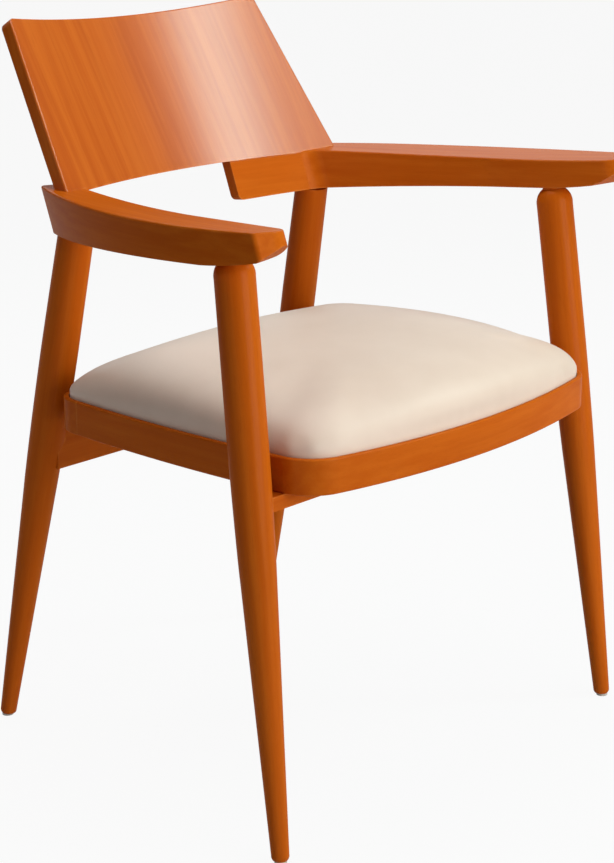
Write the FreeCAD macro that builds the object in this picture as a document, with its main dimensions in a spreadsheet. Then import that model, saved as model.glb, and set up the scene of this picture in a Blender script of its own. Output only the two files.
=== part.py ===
import FreeCAD, Part
import math
import os
import Sketcher

# Open wooden armchair with an upholstered seat pad.
# Millimetres. X runs to the sitter's left, the front faces -Y, Z is up, the feet stand on Z = 0.
# The origin lies on the floor, in the middle of the chair's width and depth.

doc = FreeCAD.newDocument("Armchair")
sheet = doc.addObject("Spreadsheet::Sheet", "Sizes")
row = 0


def size(name, value):
    """Write one named size, a number or a formula, into the sheet."""
    global row
    row = row + 1
    sheet.set("A%d" % row, name)
    sheet.set("B%d" % row, str(value))
    sheet.setAlias("B%d" % row, name)


# Driving sizes in millimetres and degrees
SIZES = {
    # Whole chair
    "overall_depth": 534.6,
    "arm_level": 621.3,
    "back_recline": 30.6,
    "arm_lean": 20,
    "arm_tilt": 3.6,
    "arm_nose_skew": 16.7,
    # Legs, each given by its foot on the floor and by its axis where it meets the arm
    "front_foot_x": 285.3,
    "front_foot_y": -237.2,
    "front_top_x": 263.7,
    "front_top_y": -159.6,
    "front_top_drop": 20.5,
    "rear_foot_x": 218.1,
    "rear_foot_y": 249.1,
    "rear_top_x": 190.6,
    "rear_top_y": 139.2,
    "rear_top_drop": 49.3,
    "leg_radius": 20.4,
    "leg_tip_radius": 9.2,
    "leg_tip_height": 6,
    "leg_taper_end": 300,
    "leg_straight_start": 460,
    "front_shoulder_drop": 19,
    "front_neck_drop": 0.8,
    "neck_radius": 12,
    "front_tenon_depth": 18,
    "rear_top_radius": 19.4,
    "rear_housing_depth": 8,
    "rear_tenon_radius": 10,
    "rear_tenon_depth": 17,
    "joint_clearance": 0.1,
    # Foot glides
    "glide_height": 3,
    "glide_radius": 6.5,
    "glide_stem_radius": 1.6,
    "glide_stem_length": 12,
    # Arms: plan outline of the top face at the level of the panel's lower edge
    "arm_inner_rear_x": 180,
    "arm_fold_x": 150,
    "arm_inner_mid_x": 220,
    "arm_inner_mid_y": 5,
    "arm_waist_x": 238,
    "arm_waist_y": -80,
    "arm_flare_x": 252,
    "arm_flare_y": -168,
    "arm_nose_inner_x": 272,
    "arm_nose_inner_y": -250,
    "arm_nose_outer_x": 316,
    "arm_nose_outer_y": -240,
    "arm_outer_mid_x": 302,
    "arm_outer_mid_y": -62,
    "arm_heel_x": 202,
    "arm_heel_y": 179,
    "arm_end_x": 154,
    "arm_end_y": 177,
    "arm_nose_round": 26,
    "arm_crease_round": 5,
    "arm_heel_round": 7,
    "arm_throat_round": 26,
    "arm_edge_round": 2,
    # Arms: side profile of the top and of the underside
    "arm_flat_from": 50,
    "arm_top_radius": 4300,
    "arm_under_rear_y": 170,
    "arm_under_rear_drop": 46.8,
    "arm_under_mid_y": 0,
    "arm_under_mid_drop": 31.3,
    "arm_under_front_y": -165,
    "arm_under_front_drop": 19.3,
    "arm_lead_y": -206,
    "arm_lead_drop": 13.8,
    "arm_tip_y": -262,
    "arm_tip_drop": 2,
    "arm_sweep_start_y": -200,
    "arm_sweep_start_drop": 21.5,
    "arm_sweep_mid_y": -238.5,
    "arm_sweep_mid_drop": 8.2,
    "arm_sweep_end_y": -262,
    "arm_sweep_end_drop": -14,
    "arm_trim_margin": 38,
    # Back panel, bent about an axis that follows its recline
    "panel_radius": 801,
    "panel_thickness": 17,
    "panel_length": 190.9,
    "panel_low_half": 216.7,
    "panel_top_half": 191.7,
    "panel_corner": 9,
    "panel_margin": 60,
    # Lower edge of the panel in plan, which the return of the left arm follows
    "return_inner_x": 64,
    "return_thickness": 13,
    "return_corner_round": 6,
    # Side edges of the panel, which reach the arms where the bend has come forward
    "panel_edge_round": 2,
    # Dowels between panel and arms
    "back_dowel_radius": 3,
    "back_dowel_half": 14,
    "back_dowel_outer_x": 206,
    "back_dowel_inner_x": 191,
    "return_dowel_outer_x": 145,
    "return_dowel_inner_x": 85,
    # Seat rim: outer plan outline
    "rim_low": 368,
    "rim_height": 37,
    "rim_front_radius": 880,
    "rim_side_x": 243.5,
    "rim_side_y": -100,
    "rim_side_radius": 1900,
    "rim_corner_radius": 46,
    "rim_rear_radius": 36,
    "rim_rear_y": 143,
    "rim_edge_round": 2,
    "seat_mid_y": -60,
    "full_scale": 1,
    "no_dome": 0,
    # Seat rim: inner opening, joints and rebate for the pad
    "rim_side_width": 37.5,
    "rim_front_width": 41.3,
    "rim_rear_width": 43,
    "rim_joint_run": 61,
    "lip_scale": 0.981,
    "rebate_depth": 8,
    "rear_tongue_half": 170,
    "rear_tongue_lap": 16,
    "rim_dowel_radius": 4,
    "rim_dowel_half": 15,
    # Cross rails between the legs
    "front_rail_offset": 0.5,
    "front_rail_depth": 26,
    "front_rail_height": 15,
    "rear_rail_offset": -7,
    "rear_rail_depth": 22,
    "rear_rail_height": 58,
    "rail_tenon_radius": 4.5,
    "rail_tenon_reach": 8,
    "rail_dowel_radius": 4,
    "rail_dowel_half": 10,
    "front_rail_dowel_x": 150,
    "rear_rail_dowel_x": 120,
    # Seat pad: outline scales about the middle of the seat, and the crown's shape
    "cover_scale": 0.978,
    "cover_thickness": 1.4,
    "cover_clearance": 0.3,
    "flange_lap": 8.3,
    "board_thickness": 12,
    "pad_top": 473,
    "pad_tuck": 9,
    "crown_power": 2.4,
    "crown_round": 0.45,
    "crown_dome": 0.65,
    "crown_forward": 18,
    # Dust sheet below the board and its staples
    "dust_thickness": 0.8,
    "dust_margin": 4,
    "staple_length": 10,
    "staple_width": 1.2,
    "staple_height": 0.6,
    "staple_inset": 6,
    "staple_pitch": 62,
    # Corner blocks and the screws that hold the pad
    "block_size": 46,
    "block_height": 22,
    "screw_inset": 15,
    "screw_radius": 2,
    "screw_bite": 9,
    "screw_head_radius": 4.2,
    "screw_head_height": 2.4,
}
for name, number in SIZES.items():
    size(name, number)

# Sizes that follow from them

# Legs, each given by its foot on the floor and by its axis where it meets the arm
for end in ("front", "rear"):
    size(end + "_top_z", "=arm_level - %s_top_drop" % end)
    size(end + "_run_x", "=%s_top_x - %s_foot_x" % (end, end))
    size(end + "_run_y", "=%s_top_y - %s_foot_y" % (end, end))
    size(end + "_spread", "=sqrt(%s_run_x ^ 2 + %s_run_y ^ 2)" % (end, end))
    size(end + "_length", "=sqrt(%s_spread ^ 2 + %s_top_z ^ 2)" % (end, end))
    size(end + "_lean", "=atan(%s_spread / %s_top_z) / 1 deg" % (end, end))

# Arms: levels of the underside and reach of the side profile past the nose
for tag in ("arm_under_rear", "arm_under_mid", "arm_under_front", "arm_lead", "arm_tip",
            "arm_sweep_start", "arm_sweep_mid", "arm_sweep_end"):
    size(tag + "_z", "=arm_level - %s_drop" % tag)
size("arm_reach", "=arm_trim_margin - arm_tip_y")

# Back panel, bent about an axis that follows its recline
size("panel_low_y", "=overall_depth / 2 - panel_length * sin(back_recline)"
     " - panel_thickness * cos(back_recline)")

# Lower edge of the panel in plan, which the return of the left arm follows
size("edge_radius", "=panel_radius * cos(back_recline)")
EDGE_POINTS = (("arm_inner_rear", "arm_inner_rear_x", 0), ("return_front", "return_inner_x", 0),
               ("return_back", "return_inner_x", 1), ("return_root", "arm_end_x", 1))
for tag, x_name, deep in EDGE_POINTS:
    bow = "sqrt((edge_radius + {0} * return_thickness) ^ 2 - {1} ^ 2)".format(deep, x_name)
    size(tag + "_y", "=panel_low_y - edge_radius + " + bow)
size("return_mid_x", "=(arm_inner_rear_x + return_inner_x) / 2")
size("return_mid_y", "=panel_low_y - edge_radius + sqrt(edge_radius ^ 2 - return_mid_x ^ 2)")
size("return_back_mid_x", "=(arm_end_x + return_inner_x) / 2")
size("return_back_mid_y", "=panel_low_y - edge_radius"
     " + sqrt((edge_radius + return_thickness) ^ 2 - return_back_mid_x ^ 2)")

# Side edges of the panel, which reach the arms where the bend has come forward
size("panel_sag", "=panel_radius - sqrt(panel_radius ^ 2 - panel_low_half ^ 2)")
size("panel_edge_low", "=-panel_sag * tan(back_recline)")
size("panel_edge_slope", "=(panel_low_half - panel_top_half) / (panel_length - panel_edge_low)")

# Seat rim: outer plan outline
size("rim_top", "=rim_low + rim_height")
size("rim_front_y", "=-overall_depth / 2")

# Seat rim: tangent points of the front corner between the bowed front and the side
size("bow_y", "=rim_front_y + rim_front_radius")
size("flank_x", "=rim_side_x - rim_side_radius")
size("bow_reach", "=rim_front_radius - rim_corner_radius")
size("flank_reach", "=rim_side_radius - rim_corner_radius")
size("centre_gap", "=sqrt(flank_x ^ 2 + (rim_side_y - bow_y) ^ 2)")
size("centre_along", "=(bow_reach ^ 2 - flank_reach ^ 2 + centre_gap ^ 2) / (2 * centre_gap)")
size("centre_across", "=sqrt(bow_reach ^ 2 - centre_along ^ 2)")
size("along_x", "=flank_x / centre_gap")
size("along_y", "=(rim_side_y - bow_y) / centre_gap")
size("corner_x", "=centre_along * along_x - centre_across * along_y")
size("corner_y", "=bow_y + centre_along * along_y + centre_across * along_x")
size("rim_front_end_x", "=corner_x * rim_front_radius / bow_reach")
size("rim_front_end_y", "=bow_y + (corner_y - bow_y) * rim_front_radius / bow_reach")
size("rim_side_front_x", "=flank_x + (corner_x - flank_x) * rim_side_radius / flank_reach")
size("rim_side_front_y", "=rim_side_y + (corner_y - rim_side_y) * rim_side_radius / flank_reach")
size("corner_pull_x", "=(rim_front_end_x + rim_side_front_x) / 2 - corner_x")
size("corner_pull_y", "=(rim_front_end_y + rim_side_front_y) / 2 - corner_y")
size("corner_pull", "=sqrt(corner_pull_x ^ 2 + corner_pull_y ^ 2)")
size("rim_corner_x", "=corner_x + corner_pull_x * rim_corner_radius / corner_pull")
size("rim_corner_y", "=corner_y + corner_pull_y * rim_corner_radius / corner_pull")

# Seat rim: tangent points of the rear corner between the side and the straight rear
size("rear_reach", "=rim_side_radius - rim_rear_radius")
size("heel_y", "=rim_rear_y - rim_rear_radius")
size("heel_x", "=flank_x + sqrt(rear_reach ^ 2 - (heel_y - rim_side_y) ^ 2)")
size("rim_side_rear_x", "=flank_x + (heel_x - flank_x) * rim_side_radius / rear_reach")
size("rim_side_rear_y", "=rim_side_y + (heel_y - rim_side_y) * rim_side_radius / rear_reach")
size("rim_rear_end_x", "=heel_x")
size("heel_pull_x", "=(rim_side_rear_x + heel_x) / 2 - heel_x")
size("heel_pull_y", "=(rim_side_rear_y + rim_rear_y) / 2 - heel_y")
size("heel_pull", "=sqrt(heel_pull_x ^ 2 + heel_pull_y ^ 2)")
size("rim_rear_corner_x", "=heel_x + heel_pull_x * rim_rear_radius / heel_pull")
size("rim_rear_corner_y", "=heel_y + heel_pull_y * rim_rear_radius / heel_pull")

# How far each point of the outline stands out past a plain oval of the same width and depth
OUTLINE_POINTS = (("front_end", "front"), ("corner", "front"), ("side_front", "front"), ("side", "front"),
                  ("side_rear", "rear"), ("rear_corner", "rear"), ("rear_end", "rear"))
size("rim_rear_end_y", "=rim_rear_y")
for tag, end in OUTLINE_POINTS:
    across = "(rim_%s_x / rim_side_x) ^ 2" % tag
    along = "((rim_%s_y - seat_mid_y) / (rim_%s_y - seat_mid_y)) ^ 2" % (tag, end)
    size("rim_%s_bulge" % tag, "=sqrt(%s + %s)" % (across, along))

# Seat rim: inner opening, joints and rebate for the pad
size("opening_half", "=rim_side_x - rim_side_width")
size("opening_front_y", "=rim_front_y + rim_front_width")
size("opening_rear_y", "=rim_rear_y - rim_rear_width")
size("rim_joint_y", "=opening_front_y + rim_joint_run")
size("rebate_floor", "=rim_top - rebate_depth")

# Cross rails between the legs
for end in ("front", "rear"):
    size(end + "_rail_low", "=rim_low - %s_rail_height" % end)
    size(end + "_rail_z", "=rim_low - %s_rail_height / 2" % end)
    size(end + "_rail_leg_x", "=%s_foot_x + %s_run_x * %s_rail_z / %s_top_z" % (end, end, end, end))
    size(end + "_rail_leg_y", "=%s_foot_y + %s_run_y * %s_rail_z / %s_top_z" % (end, end, end, end))
    size(end + "_rail_y", "=%s_rail_leg_y + %s_rail_offset" % (end, end))
    size(end + "_rail_front_y", "=%s_rail_y - %s_rail_depth / 2" % (end, end))
size("rear_tongue_y", "=rear_rail_front_y + rear_tongue_lap")

# Seat pad: outline scales about the middle of the seat, and the crown's shape
size("cover_wall", "=cover_thickness / rim_side_x")
size("lining_scale", "=cover_scale - cover_wall")
size("flange_scale", "=(opening_half + flange_lap) / rim_side_x")
size("board_scale", "=lining_scale - cover_wall - cover_clearance / opening_half")
size("cover_low", "=rebate_floor + cover_clearance")
size("board_low", "=cover_low + cover_thickness")
size("board_top", "=board_low + board_thickness")
size("pad_waist", "=rim_top + pad_tuck")
size("lining_top", "=pad_top - cover_thickness")
CROWN_SHARES = (0.2, 0.38, 0.55, 0.7, 0.82, 0.91, 0.97)
CUSHIONS = (
    ("cover_outside", "cover_scale", "cover_low", "pad_top"),
    ("cover_lining", "lining_scale", "board_low", "lining_top"),
    ("foam_core", "board_scale", "board_top", "foam_top"))
size("foam_top", "=lining_top - cover_clearance")
for name, scale, low, top in CUSHIONS:
    levels = [(low, "%s - cover_wall" % scale), ("pad_waist", scale)]
    for share in CROWN_SHARES:
        levels.append(("pad_waist + (%s - pad_waist) * %g" % (top, share),
                       "%s * (1 - %g ^ crown_power) ^ crown_round" % (scale, share)))
    for number, (height, width) in enumerate(levels):
        share = ((0, 0) + CROWN_SHARES)[number]
        size("%s_%d_level" % (name, number), "=" + height)
        size("%s_%d_scale" % (name, number), "=" + width)
        size("%s_%d_dome" % (name, number), "=crown_dome * %g" % share)
        size("%s_%d_mid_y" % (name, number), "=seat_mid_y - crown_forward * %g" % share)

# Dust sheet below the board and its staples
size("dust_low", "=board_low - dust_thickness")

# Corner blocks and the screws that hold the pad
size("block_low", "=rebate_floor - block_height")

doc.recompute()


def value(name):
    """Number held in one cell of the sheet."""
    return float(sheet.get(name))


def cell(name):
    """Expression that reads one cell of the sheet."""
    return "Sizes." + name


def bind(thing, **expressions):
    """Bind properties of an object to the sheet; a double underscore stands for a dot."""
    for key, expression in expressions.items():
        thing.setExpression(key.replace("__", "."), expression)


# Sketch points


def point(x_name, y_name, side=1):
    """A sketch point whose two coordinates are cells; side -1 mirrors it in X."""
    sign = "" if side > 0 else "-"
    return (side * value(x_name), sign + cell(x_name), value(y_name), cell(y_name))


def drawn_in(tag, side, scale, dome, middle):
    """A point of the seat's outline at a scale, drawn towards an oval by the dome's share."""
    share = value(scale) * (1 - value(dome) + value(dome) / value("rim_%s_bulge" % tag))
    share_text = "{0} * (1 - {1} + {1} / {2})".format(cell(scale), cell(dome), cell("rim_%s_bulge" % tag))
    x_name = "rim_%s_x" % tag
    y_name = "rim_%s_y" % tag
    x_text = "%s * %s" % (cell(x_name), share_text)
    y_text = "{0} + ({1} - {2}) * {3}".format(cell(middle), cell(y_name), cell("seat_mid_y"), share_text)
    y_number = value(middle) + (value(y_name) - value("seat_mid_y")) * share
    return (side * value(x_name) * share, x_text if side > 0 else "-(%s)" % x_text, y_number, y_text)


def free(x_number, x_text, y_number, y_text):
    """A sketch point given by two numbers and by the expressions that drive them."""
    return (x_number, x_text, y_number, y_text)


def place(sketch, geometry, position, spot):
    """Fix one point of a sketch to its driven coordinates."""
    x_number, x_text, y_number, y_text = spot
    ways = (("DistanceX", x_number, x_text, -2), ("DistanceY", y_number, y_text, -1))
    for kind, number, text, axis in ways:
        if text is None:
            sketch.addConstraint(Sketcher.Constraint("PointOnObject", geometry, position, axis))
        else:
            index = sketch.addConstraint(Sketcher.Constraint(kind, geometry, position, number))
            sketch.setExpression("Constraints[%d]" % index, text)


def vector(spot):
    return FreeCAD.Vector(spot[0], spot[2], 0)


def outline(sketch, start, steps):
    """Draw a closed outline: a step of one point is a line, of two an arc by way of the first."""
    first = None
    last = None
    here = start
    for step in steps:
        target = step[-1]
        if len(step) == 1:
            edge = sketch.addGeometry(Part.LineSegment(vector(here), vector(target)), False)
        else:
            edge = sketch.addGeometry(Part.Arc(vector(here), vector(step[0]), vector(target)), False)
        begins = 1
        if sketch.getPoint(edge, 1).distanceToPoint(vector(here)) > 1e-6:
            begins = 2
        if last is None:
            first = (edge, begins)
        else:
            sketch.addConstraint(Sketcher.Constraint("Coincident", last[0], last[1], edge, begins))
        place(sketch, edge, begins, here)
        if len(step) == 2:
            mark = sketch.addGeometry(Part.Point(vector(step[0])), True)
            sketch.addConstraint(Sketcher.Constraint("PointOnObject", mark, 1, edge))
            place(sketch, mark, 1, step[0])
        last = (edge, 3 - begins)
        here = target
    sketch.addConstraint(Sketcher.Constraint("Coincident", last[0], last[1], first[0], first[1]))


def new_body(name):
    return doc.addObject("PartDesign::Body", name)


def new_sketch(body, name, role, height=None):
    """A sketch on one of the body's own planes, lifted by an expression where one is given."""
    sketch = body.newObject("Sketcher::SketchObject", name)
    plane = [item for item in body.Origin.OriginFeatures if item.Role == role][0]
    sketch.AttachmentSupport = [(plane, "")]
    sketch.MapMode = "FlatFace"
    if height is not None:
        sketch.setExpression("AttachmentOffset.Base.z", height)
    doc.recompute()
    return sketch


def pad(body, sketch, length):
    feature = body.newObject("PartDesign::Pad", sketch.Name + "_pad")
    feature.Profile = sketch
    feature.setExpression("Length", length)
    return feature


def cut_through(body, sketch):
    """Pocket through the whole body, to both sides of the sketch."""
    feature = body.newObject("PartDesign::Pocket", sketch.Name + "_cut")
    feature.Profile = sketch
    feature.Type = 1
    feature.Midplane = True
    return feature


def cylinder(name, radius, height):
    tool = doc.addObject("Part::Cylinder", name)
    bind(tool, Radius=radius, Height=height)
    return tool


def box(name, length, width, height):
    tool = doc.addObject("Part::Box", name)
    bind(tool, Length=length, Width=width, Height=height)
    return tool


def at(thing, x_text, y_text, z_text):
    bind(thing, Placement__Base__x=x_text, Placement__Base__y=y_text, Placement__Base__z=z_text)
    return thing


def turn(thing, axis, angle):
    """Turn about a fixed axis by an angle expression."""
    thing.Placement.Rotation = FreeCAD.Rotation(FreeCAD.Vector(*axis), 1)
    for letter, number in zip("xyz", axis):
        thing.setExpression("Placement.Rotation.Axis." + letter, "%g" % number)
    thing.setExpression("Placement.Rotation.Angle", angle)
    return thing


def join(name, pieces):
    if len(pieces) == 1:
        return pieces[0]
    whole = doc.addObject("Part::MultiFuse", name)
    whole.Shapes = pieces
    return whole


def take_away(name, base, tools):
    rest = doc.addObject("Part::Cut", name)
    rest.Base = base
    rest.Tool = join(name + "_tools", tools)
    return rest


def group(name, pieces):
    several = doc.addObject("Part::Compound", name)
    several.Links = pieces
    return several


SIDES = (("left", 1), ("right", -1))
finished = []


def finish(thing, label):
    """Name a finished sub-part; the name is also its file's."""
    thing.Label = label
    finished.append(thing)


# Legs


def leg_line(thing, end, side, start):
    """Stand a piece on a leg's axis, at a distance from the foot given by an expression."""
    mirror = "" if side > 0 else "-"
    share = "(%s) / %s" % (start, cell(end + "_length"))
    at(thing,
       "%s(%s + %s * %s)" % (mirror, cell(end + "_foot_x"), cell(end + "_run_x"), share),
       "%s + %s * %s" % (cell(end + "_foot_y"), cell(end + "_run_y"), share),
       "%s * %s" % (cell(end + "_top_z"), share))
    spin = FreeCAD.Vector(-value(end + "_run_y"), side * value(end + "_run_x"), 0)
    thing.Placement.Rotation = FreeCAD.Rotation(spin, value(end + "_lean"))
    bind(thing,
         Placement__Rotation__Axis__x="-%s" % cell(end + "_run_y"),
         Placement__Rotation__Axis__y="%s%s" % (mirror, cell(end + "_run_x")),
         Placement__Rotation__Axis__z="0",
         Placement__Rotation__Angle=cell(end + "_lean"))
    return thing


def mid_of(name_a, name_b, share):
    number = value(name_a) + (value(name_b) - value(name_a)) * share
    text = "{0} + ({1} - {0}) * {2}".format(cell(name_a), cell(name_b), share)
    return number, text


def leg_blank(end, side_name, side):
    """Turned leg with its tenon, before any joint is cut in it."""
    body = new_body("%s_leg_%s_turning" % (end, side_name))
    profile = new_sketch(body, "%s_leg_%s_profile" % (end, side_name), "XZ_Plane")
    full = cell(end + "_length")
    full_number = value(end + "_length")
    tip_slope = 0.72
    foot = free(0, None, 0, None)
    tip_mid = free(value("leg_tip_radius") * tip_slope, "%s * %g" % (cell("leg_tip_radius"), tip_slope),
                   value("leg_tip_height") * 0.3, "%s * 0.3" % cell("leg_tip_height"))
    tip = point("leg_tip_radius", "leg_tip_height")
    low_number, low_text = mid_of("leg_tip_radius", "leg_radius", 0.84)
    taper = free(low_number, low_text, value("leg_taper_end"), cell("leg_taper_end"))
    swell_number, swell_text = mid_of("leg_tip_radius", "leg_radius", 0.96)
    swell_at, swell_at_text = mid_of("leg_taper_end", "leg_straight_start", 0.46)
    swell = free(swell_number, swell_text, swell_at, swell_at_text)
    straight = point("leg_radius", "leg_straight_start")
    steps = [(tip_mid, tip), (taper,), (swell, straight)]
    if end == "front":
        drop = value("front_shoulder_drop")
        neck = value("front_neck_drop")
        shoulder = free(value("leg_radius"), cell("leg_radius"),
                        full_number - drop, "%s - %s" % (full, cell("front_shoulder_drop")))
        bend_x, bend_text = mid_of("leg_radius", "neck_radius", 0.34)
        bend_at, bend_at_text = mid_of("front_shoulder_drop", "front_neck_drop", 0.68)
        bend = free(bend_x, bend_text, full_number - bend_at, "%s - (%s)" % (full, bend_at_text))
        throat = free(value("neck_radius"), cell("neck_radius"),
                      full_number - neck, "%s - %s" % (full, cell("front_neck_drop")))
        end_number = full_number + value("front_tenon_depth")
        end_text = "%s + %s" % (full, cell("front_tenon_depth"))
        steps += [(shoulder,), (bend, throat),
                  (free(value("neck_radius"), cell("neck_radius"), end_number, end_text),),
                  (free(0, None, end_number, end_text),)]
    else:
        housing_number = full_number + value("rear_housing_depth")
        housing_text = "%s + %s" % (full, cell("rear_housing_depth"))
        end_number = housing_number + value("rear_tenon_depth")
        end_text = "%s + %s" % (housing_text, cell("rear_tenon_depth"))
        top = value("rear_top_radius")
        pin = value("rear_tenon_radius")
        steps += [(free(top, cell("rear_top_radius"), housing_number, housing_text),),
                  (free(pin, cell("rear_tenon_radius"), housing_number, housing_text),),
                  (free(pin, cell("rear_tenon_radius"), end_number, end_text),),
                  (free(0, None, end_number, end_text),)]
    outline(profile, foot, steps + [(foot,)])
    turning = body.newObject("PartDesign::Revolution", profile.Name + "_turn")
    turning.Profile = profile
    turning.ReferenceAxis = (profile, ["V_Axis"])
    turning.Angle = 360
    return leg_line(body, end, side, "0")


blanks = {}
for end in ("front", "rear"):
    for side_name, side in SIDES:
        blanks[end, side_name] = leg_blank(end, side_name, side)
doc.recompute()


def rail_tenon(end, side_name, side, name, extra):
    """Round tenon on a cross rail's end, or the mortise for it where extra is the clearance."""
    pin = cylinder(name, "%s + %s" % (cell("rail_tenon_radius"), extra),
                   "2 * %s + %s" % (cell("rail_tenon_reach"), extra))
    mirror = "" if side > 0 else "-"
    start = "%s - %s - %s" % (cell(end + "_rail_leg_x"), cell("leg_radius"), cell("rail_tenon_reach"))
    at(pin, "%s(%s)" % (mirror, start), cell(end + "_rail_leg_y"), cell(end + "_rail_z"))
    return turn(pin, (0, side, 0), "90")


for end in ("front", "rear"):
    for side_name, side in SIDES:
        name = "%s_leg_%s" % (end, side_name)
        mirror = "" if side > 0 else "-"
        floor = box(name + "_floor", "4 * %s" % cell("leg_radius"), "4 * %s" % cell("leg_radius"),
                    "2 * %s" % cell("glide_height"))
        at(floor, "%s%s - 2 * %s" % (mirror, cell(end + "_foot_x"), cell("leg_radius")),
           "%s - 2 * %s" % (cell(end + "_foot_y"), cell("leg_radius")), "-%s" % cell("glide_height"))
        stem = cylinder(name + "_stem", "%s + %s" % (cell("glide_stem_radius"), cell("joint_clearance")),
                        "%s + %s" % (cell("glide_stem_length"), cell("joint_clearance")))
        at(stem, mirror + cell(end + "_foot_x"), cell(end + "_foot_y"), "0")
        mortise = rail_tenon(end, side_name, side, name + "_mortise", cell("joint_clearance"))
        finish(take_away(name + "_solid", blanks[end, side_name], [floor, stem, mortise]), name)

glides = []
for end in ("front", "rear"):
    for side_name, side in SIDES:
        name = "glide_%s_%s" % (end, side_name)
        mirror = "" if side > 0 else "-"
        pad_disc = cylinder(name + "_disc", cell("glide_radius"), cell("glide_height"))
        pin = cylinder(name + "_pin", cell("glide_stem_radius"), cell("glide_stem_length"))
        for piece in (pad_disc, pin):
            at(piece, mirror + cell(end + "_foot_x"), cell(end + "_foot_y"), "0")
        glides.append(join(name, [pad_disc, pin]))
finish(group("glide_group", glides), "foot_glides")

# Back panel


def reclined(thing, lean):
    """Lean a piece back by a cell's angle about the panel's lower edge: its Z then follows the lean."""
    at(thing, "0", cell("panel_low_y"), cell("arm_level"))
    return turn(thing, (1, 0, 0), "-" + cell(lean))


def bent_strip(body, name, radius, thickness, half, half_text):
    """Sketch of a strip bent to a given radius, to both sides of the middle."""
    sketch = new_sketch(body, name, "XY_Plane")
    bend = value(radius)
    deep = value(thickness)

    def on_arc(distance, distance_text, extra, extra_text):
        radius_text = "(%s + %s)" % (cell(radius), extra_text)
        height = math.sqrt((bend + extra) ** 2 - distance ** 2) - bend
        height_text = "sqrt({0} ^ 2 - ({1}) ^ 2) - {2}".format(radius_text, distance_text, cell(radius))
        return free(distance, distance_text, height, height_text)

    corners = []
    for extra, extra_text in ((0, "0"), (deep, cell(thickness))):
        near = on_arc(-half, "-" + half_text, extra, extra_text)
        far = on_arc(half, half_text, extra, extra_text)
        middle = free(0, None, extra, extra_text if extra else None)
        corners.append((near, middle, far))
    front, rear = corners
    outline(sketch, front[0], [(front[1], front[2]), (rear[2],), (rear[1], rear[0]), (front[0],)])
    return sketch


def slab(name, low, height):
    """Wide level slab, used to trim pieces at a height."""
    piece = box(name, "2 * %s" % cell("overall_depth"), "2 * %s" % cell("overall_depth"), height)
    return at(piece, "-" + cell("overall_depth"), "-" + cell("overall_depth"), low)


panel = new_body("panel_blank")
wide = value("panel_low_half") + value("panel_margin")
wide_text = "(%s + %s)" % (cell("panel_low_half"), cell("panel_margin"))
strip = bent_strip(panel, "panel_bend", "panel_radius", "panel_thickness", wide, wide_text)
strip.setExpression("AttachmentOffset.Base.z", "-" + cell("panel_margin"))
pad(panel, strip, "%s + %s" % (cell("panel_length"), cell("panel_margin")))
face = new_sketch(panel, "panel_face", "XZ_Plane")
deep = -value("panel_margin")
deep_text = "-" + cell("panel_margin")
edge_drop = value("panel_edge_low") + value("panel_margin")
base_half = value("panel_low_half") + edge_drop * value("panel_edge_slope")
base_text = "({0} + ({1} + {2}) * {3})".format(
    cell("panel_low_half"), cell("panel_edge_low"), cell("panel_margin"), cell("panel_edge_slope"))
corner = value("panel_corner")
neck_half = value("panel_top_half") + corner * value("panel_edge_slope")
neck_text = "(%s + %s * %s)" % (cell("panel_top_half"), cell("panel_corner"), cell("panel_edge_slope"))
round_share = 0.29
top = value("panel_length")
top_text = cell("panel_length")
sides = []
for side in (1, -1):
    sign = "" if side > 0 else "-"
    corner_text = cell("panel_corner")
    sides.append([
        free(side * base_half, sign + base_text, deep, deep_text),
        free(side * neck_half, sign + neck_text, top - corner, "%s - %s" % (top_text, corner_text)),
        free(side * (neck_half - corner * round_share),
             "%s(%s - %s * %g)" % (sign, neck_text, corner_text, round_share),
             top - corner * round_share, "%s - %s * %g" % (top_text, corner_text, round_share)),
        free(side * (neck_half - corner), "%s(%s - %s)" % (sign, neck_text, corner_text), top, top_text)])
right_side, left_side = sides[1], sides[0]
outline(face, right_side[0], [
    (right_side[1],), (right_side[2], right_side[3]), (left_side[3],),
    (left_side[2], left_side[1]), (left_side[0],), (right_side[0],)])
far_half = 2 * wide
far_text = "2 * " + wide_text
far_top = top + value("panel_margin")
far_top_text = "%s + %s" % (top_text, cell("panel_margin"))
outline(face, free(-far_half, "-" + far_text, 2 * deep, "2 * " + deep_text), [
    (free(-far_half, "-" + far_text, far_top, far_top_text),),
    (free(far_half, far_text, far_top, far_top_text),),
    (free(far_half, far_text, 2 * deep, "2 * " + deep_text),),
    (free(-far_half, "-" + far_text, 2 * deep, "2 * " + deep_text),)])
shaped = cut_through(panel, face)
doc.recompute()


def soften(body, feature, radius, wanted):
    """Round the edges of a feature that a test picks out."""
    names = ["Edge%d" % (number + 1) for number, edge in enumerate(feature.Shape.Edges) if wanted(edge)]
    rounding = body.newObject("PartDesign::Fillet", feature.Name + "_round")
    rounding.Base = (feature, names)
    rounding.setExpression("Radius", cell(radius))
    doc.recompute()
    return rounding


def on_panel_rim(edge):
    """Edges between the panel's broad faces and its narrow ones, apart from the end that is cut off."""
    height = edge.CenterOfMass.z
    along = height > deep + 1 and edge.Length > value("panel_thickness") + 1
    across = abs(edge.Length - value("panel_thickness")) < 1
    return along or (height > top / 2 and edge.Length > 2 and not across)


soften(panel, shaped, "panel_edge_round", on_panel_rim)
reclined(panel, "back_recline")
doc.recompute()

under = "%s - %s" % (cell("arm_level"), cell("overall_depth"))
below_panel = slab("below_panel", under, cell("overall_depth"))
panel_standing = take_away("panel_standing", panel, [below_panel])

# Dowels that hold the panel on the arms


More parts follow.
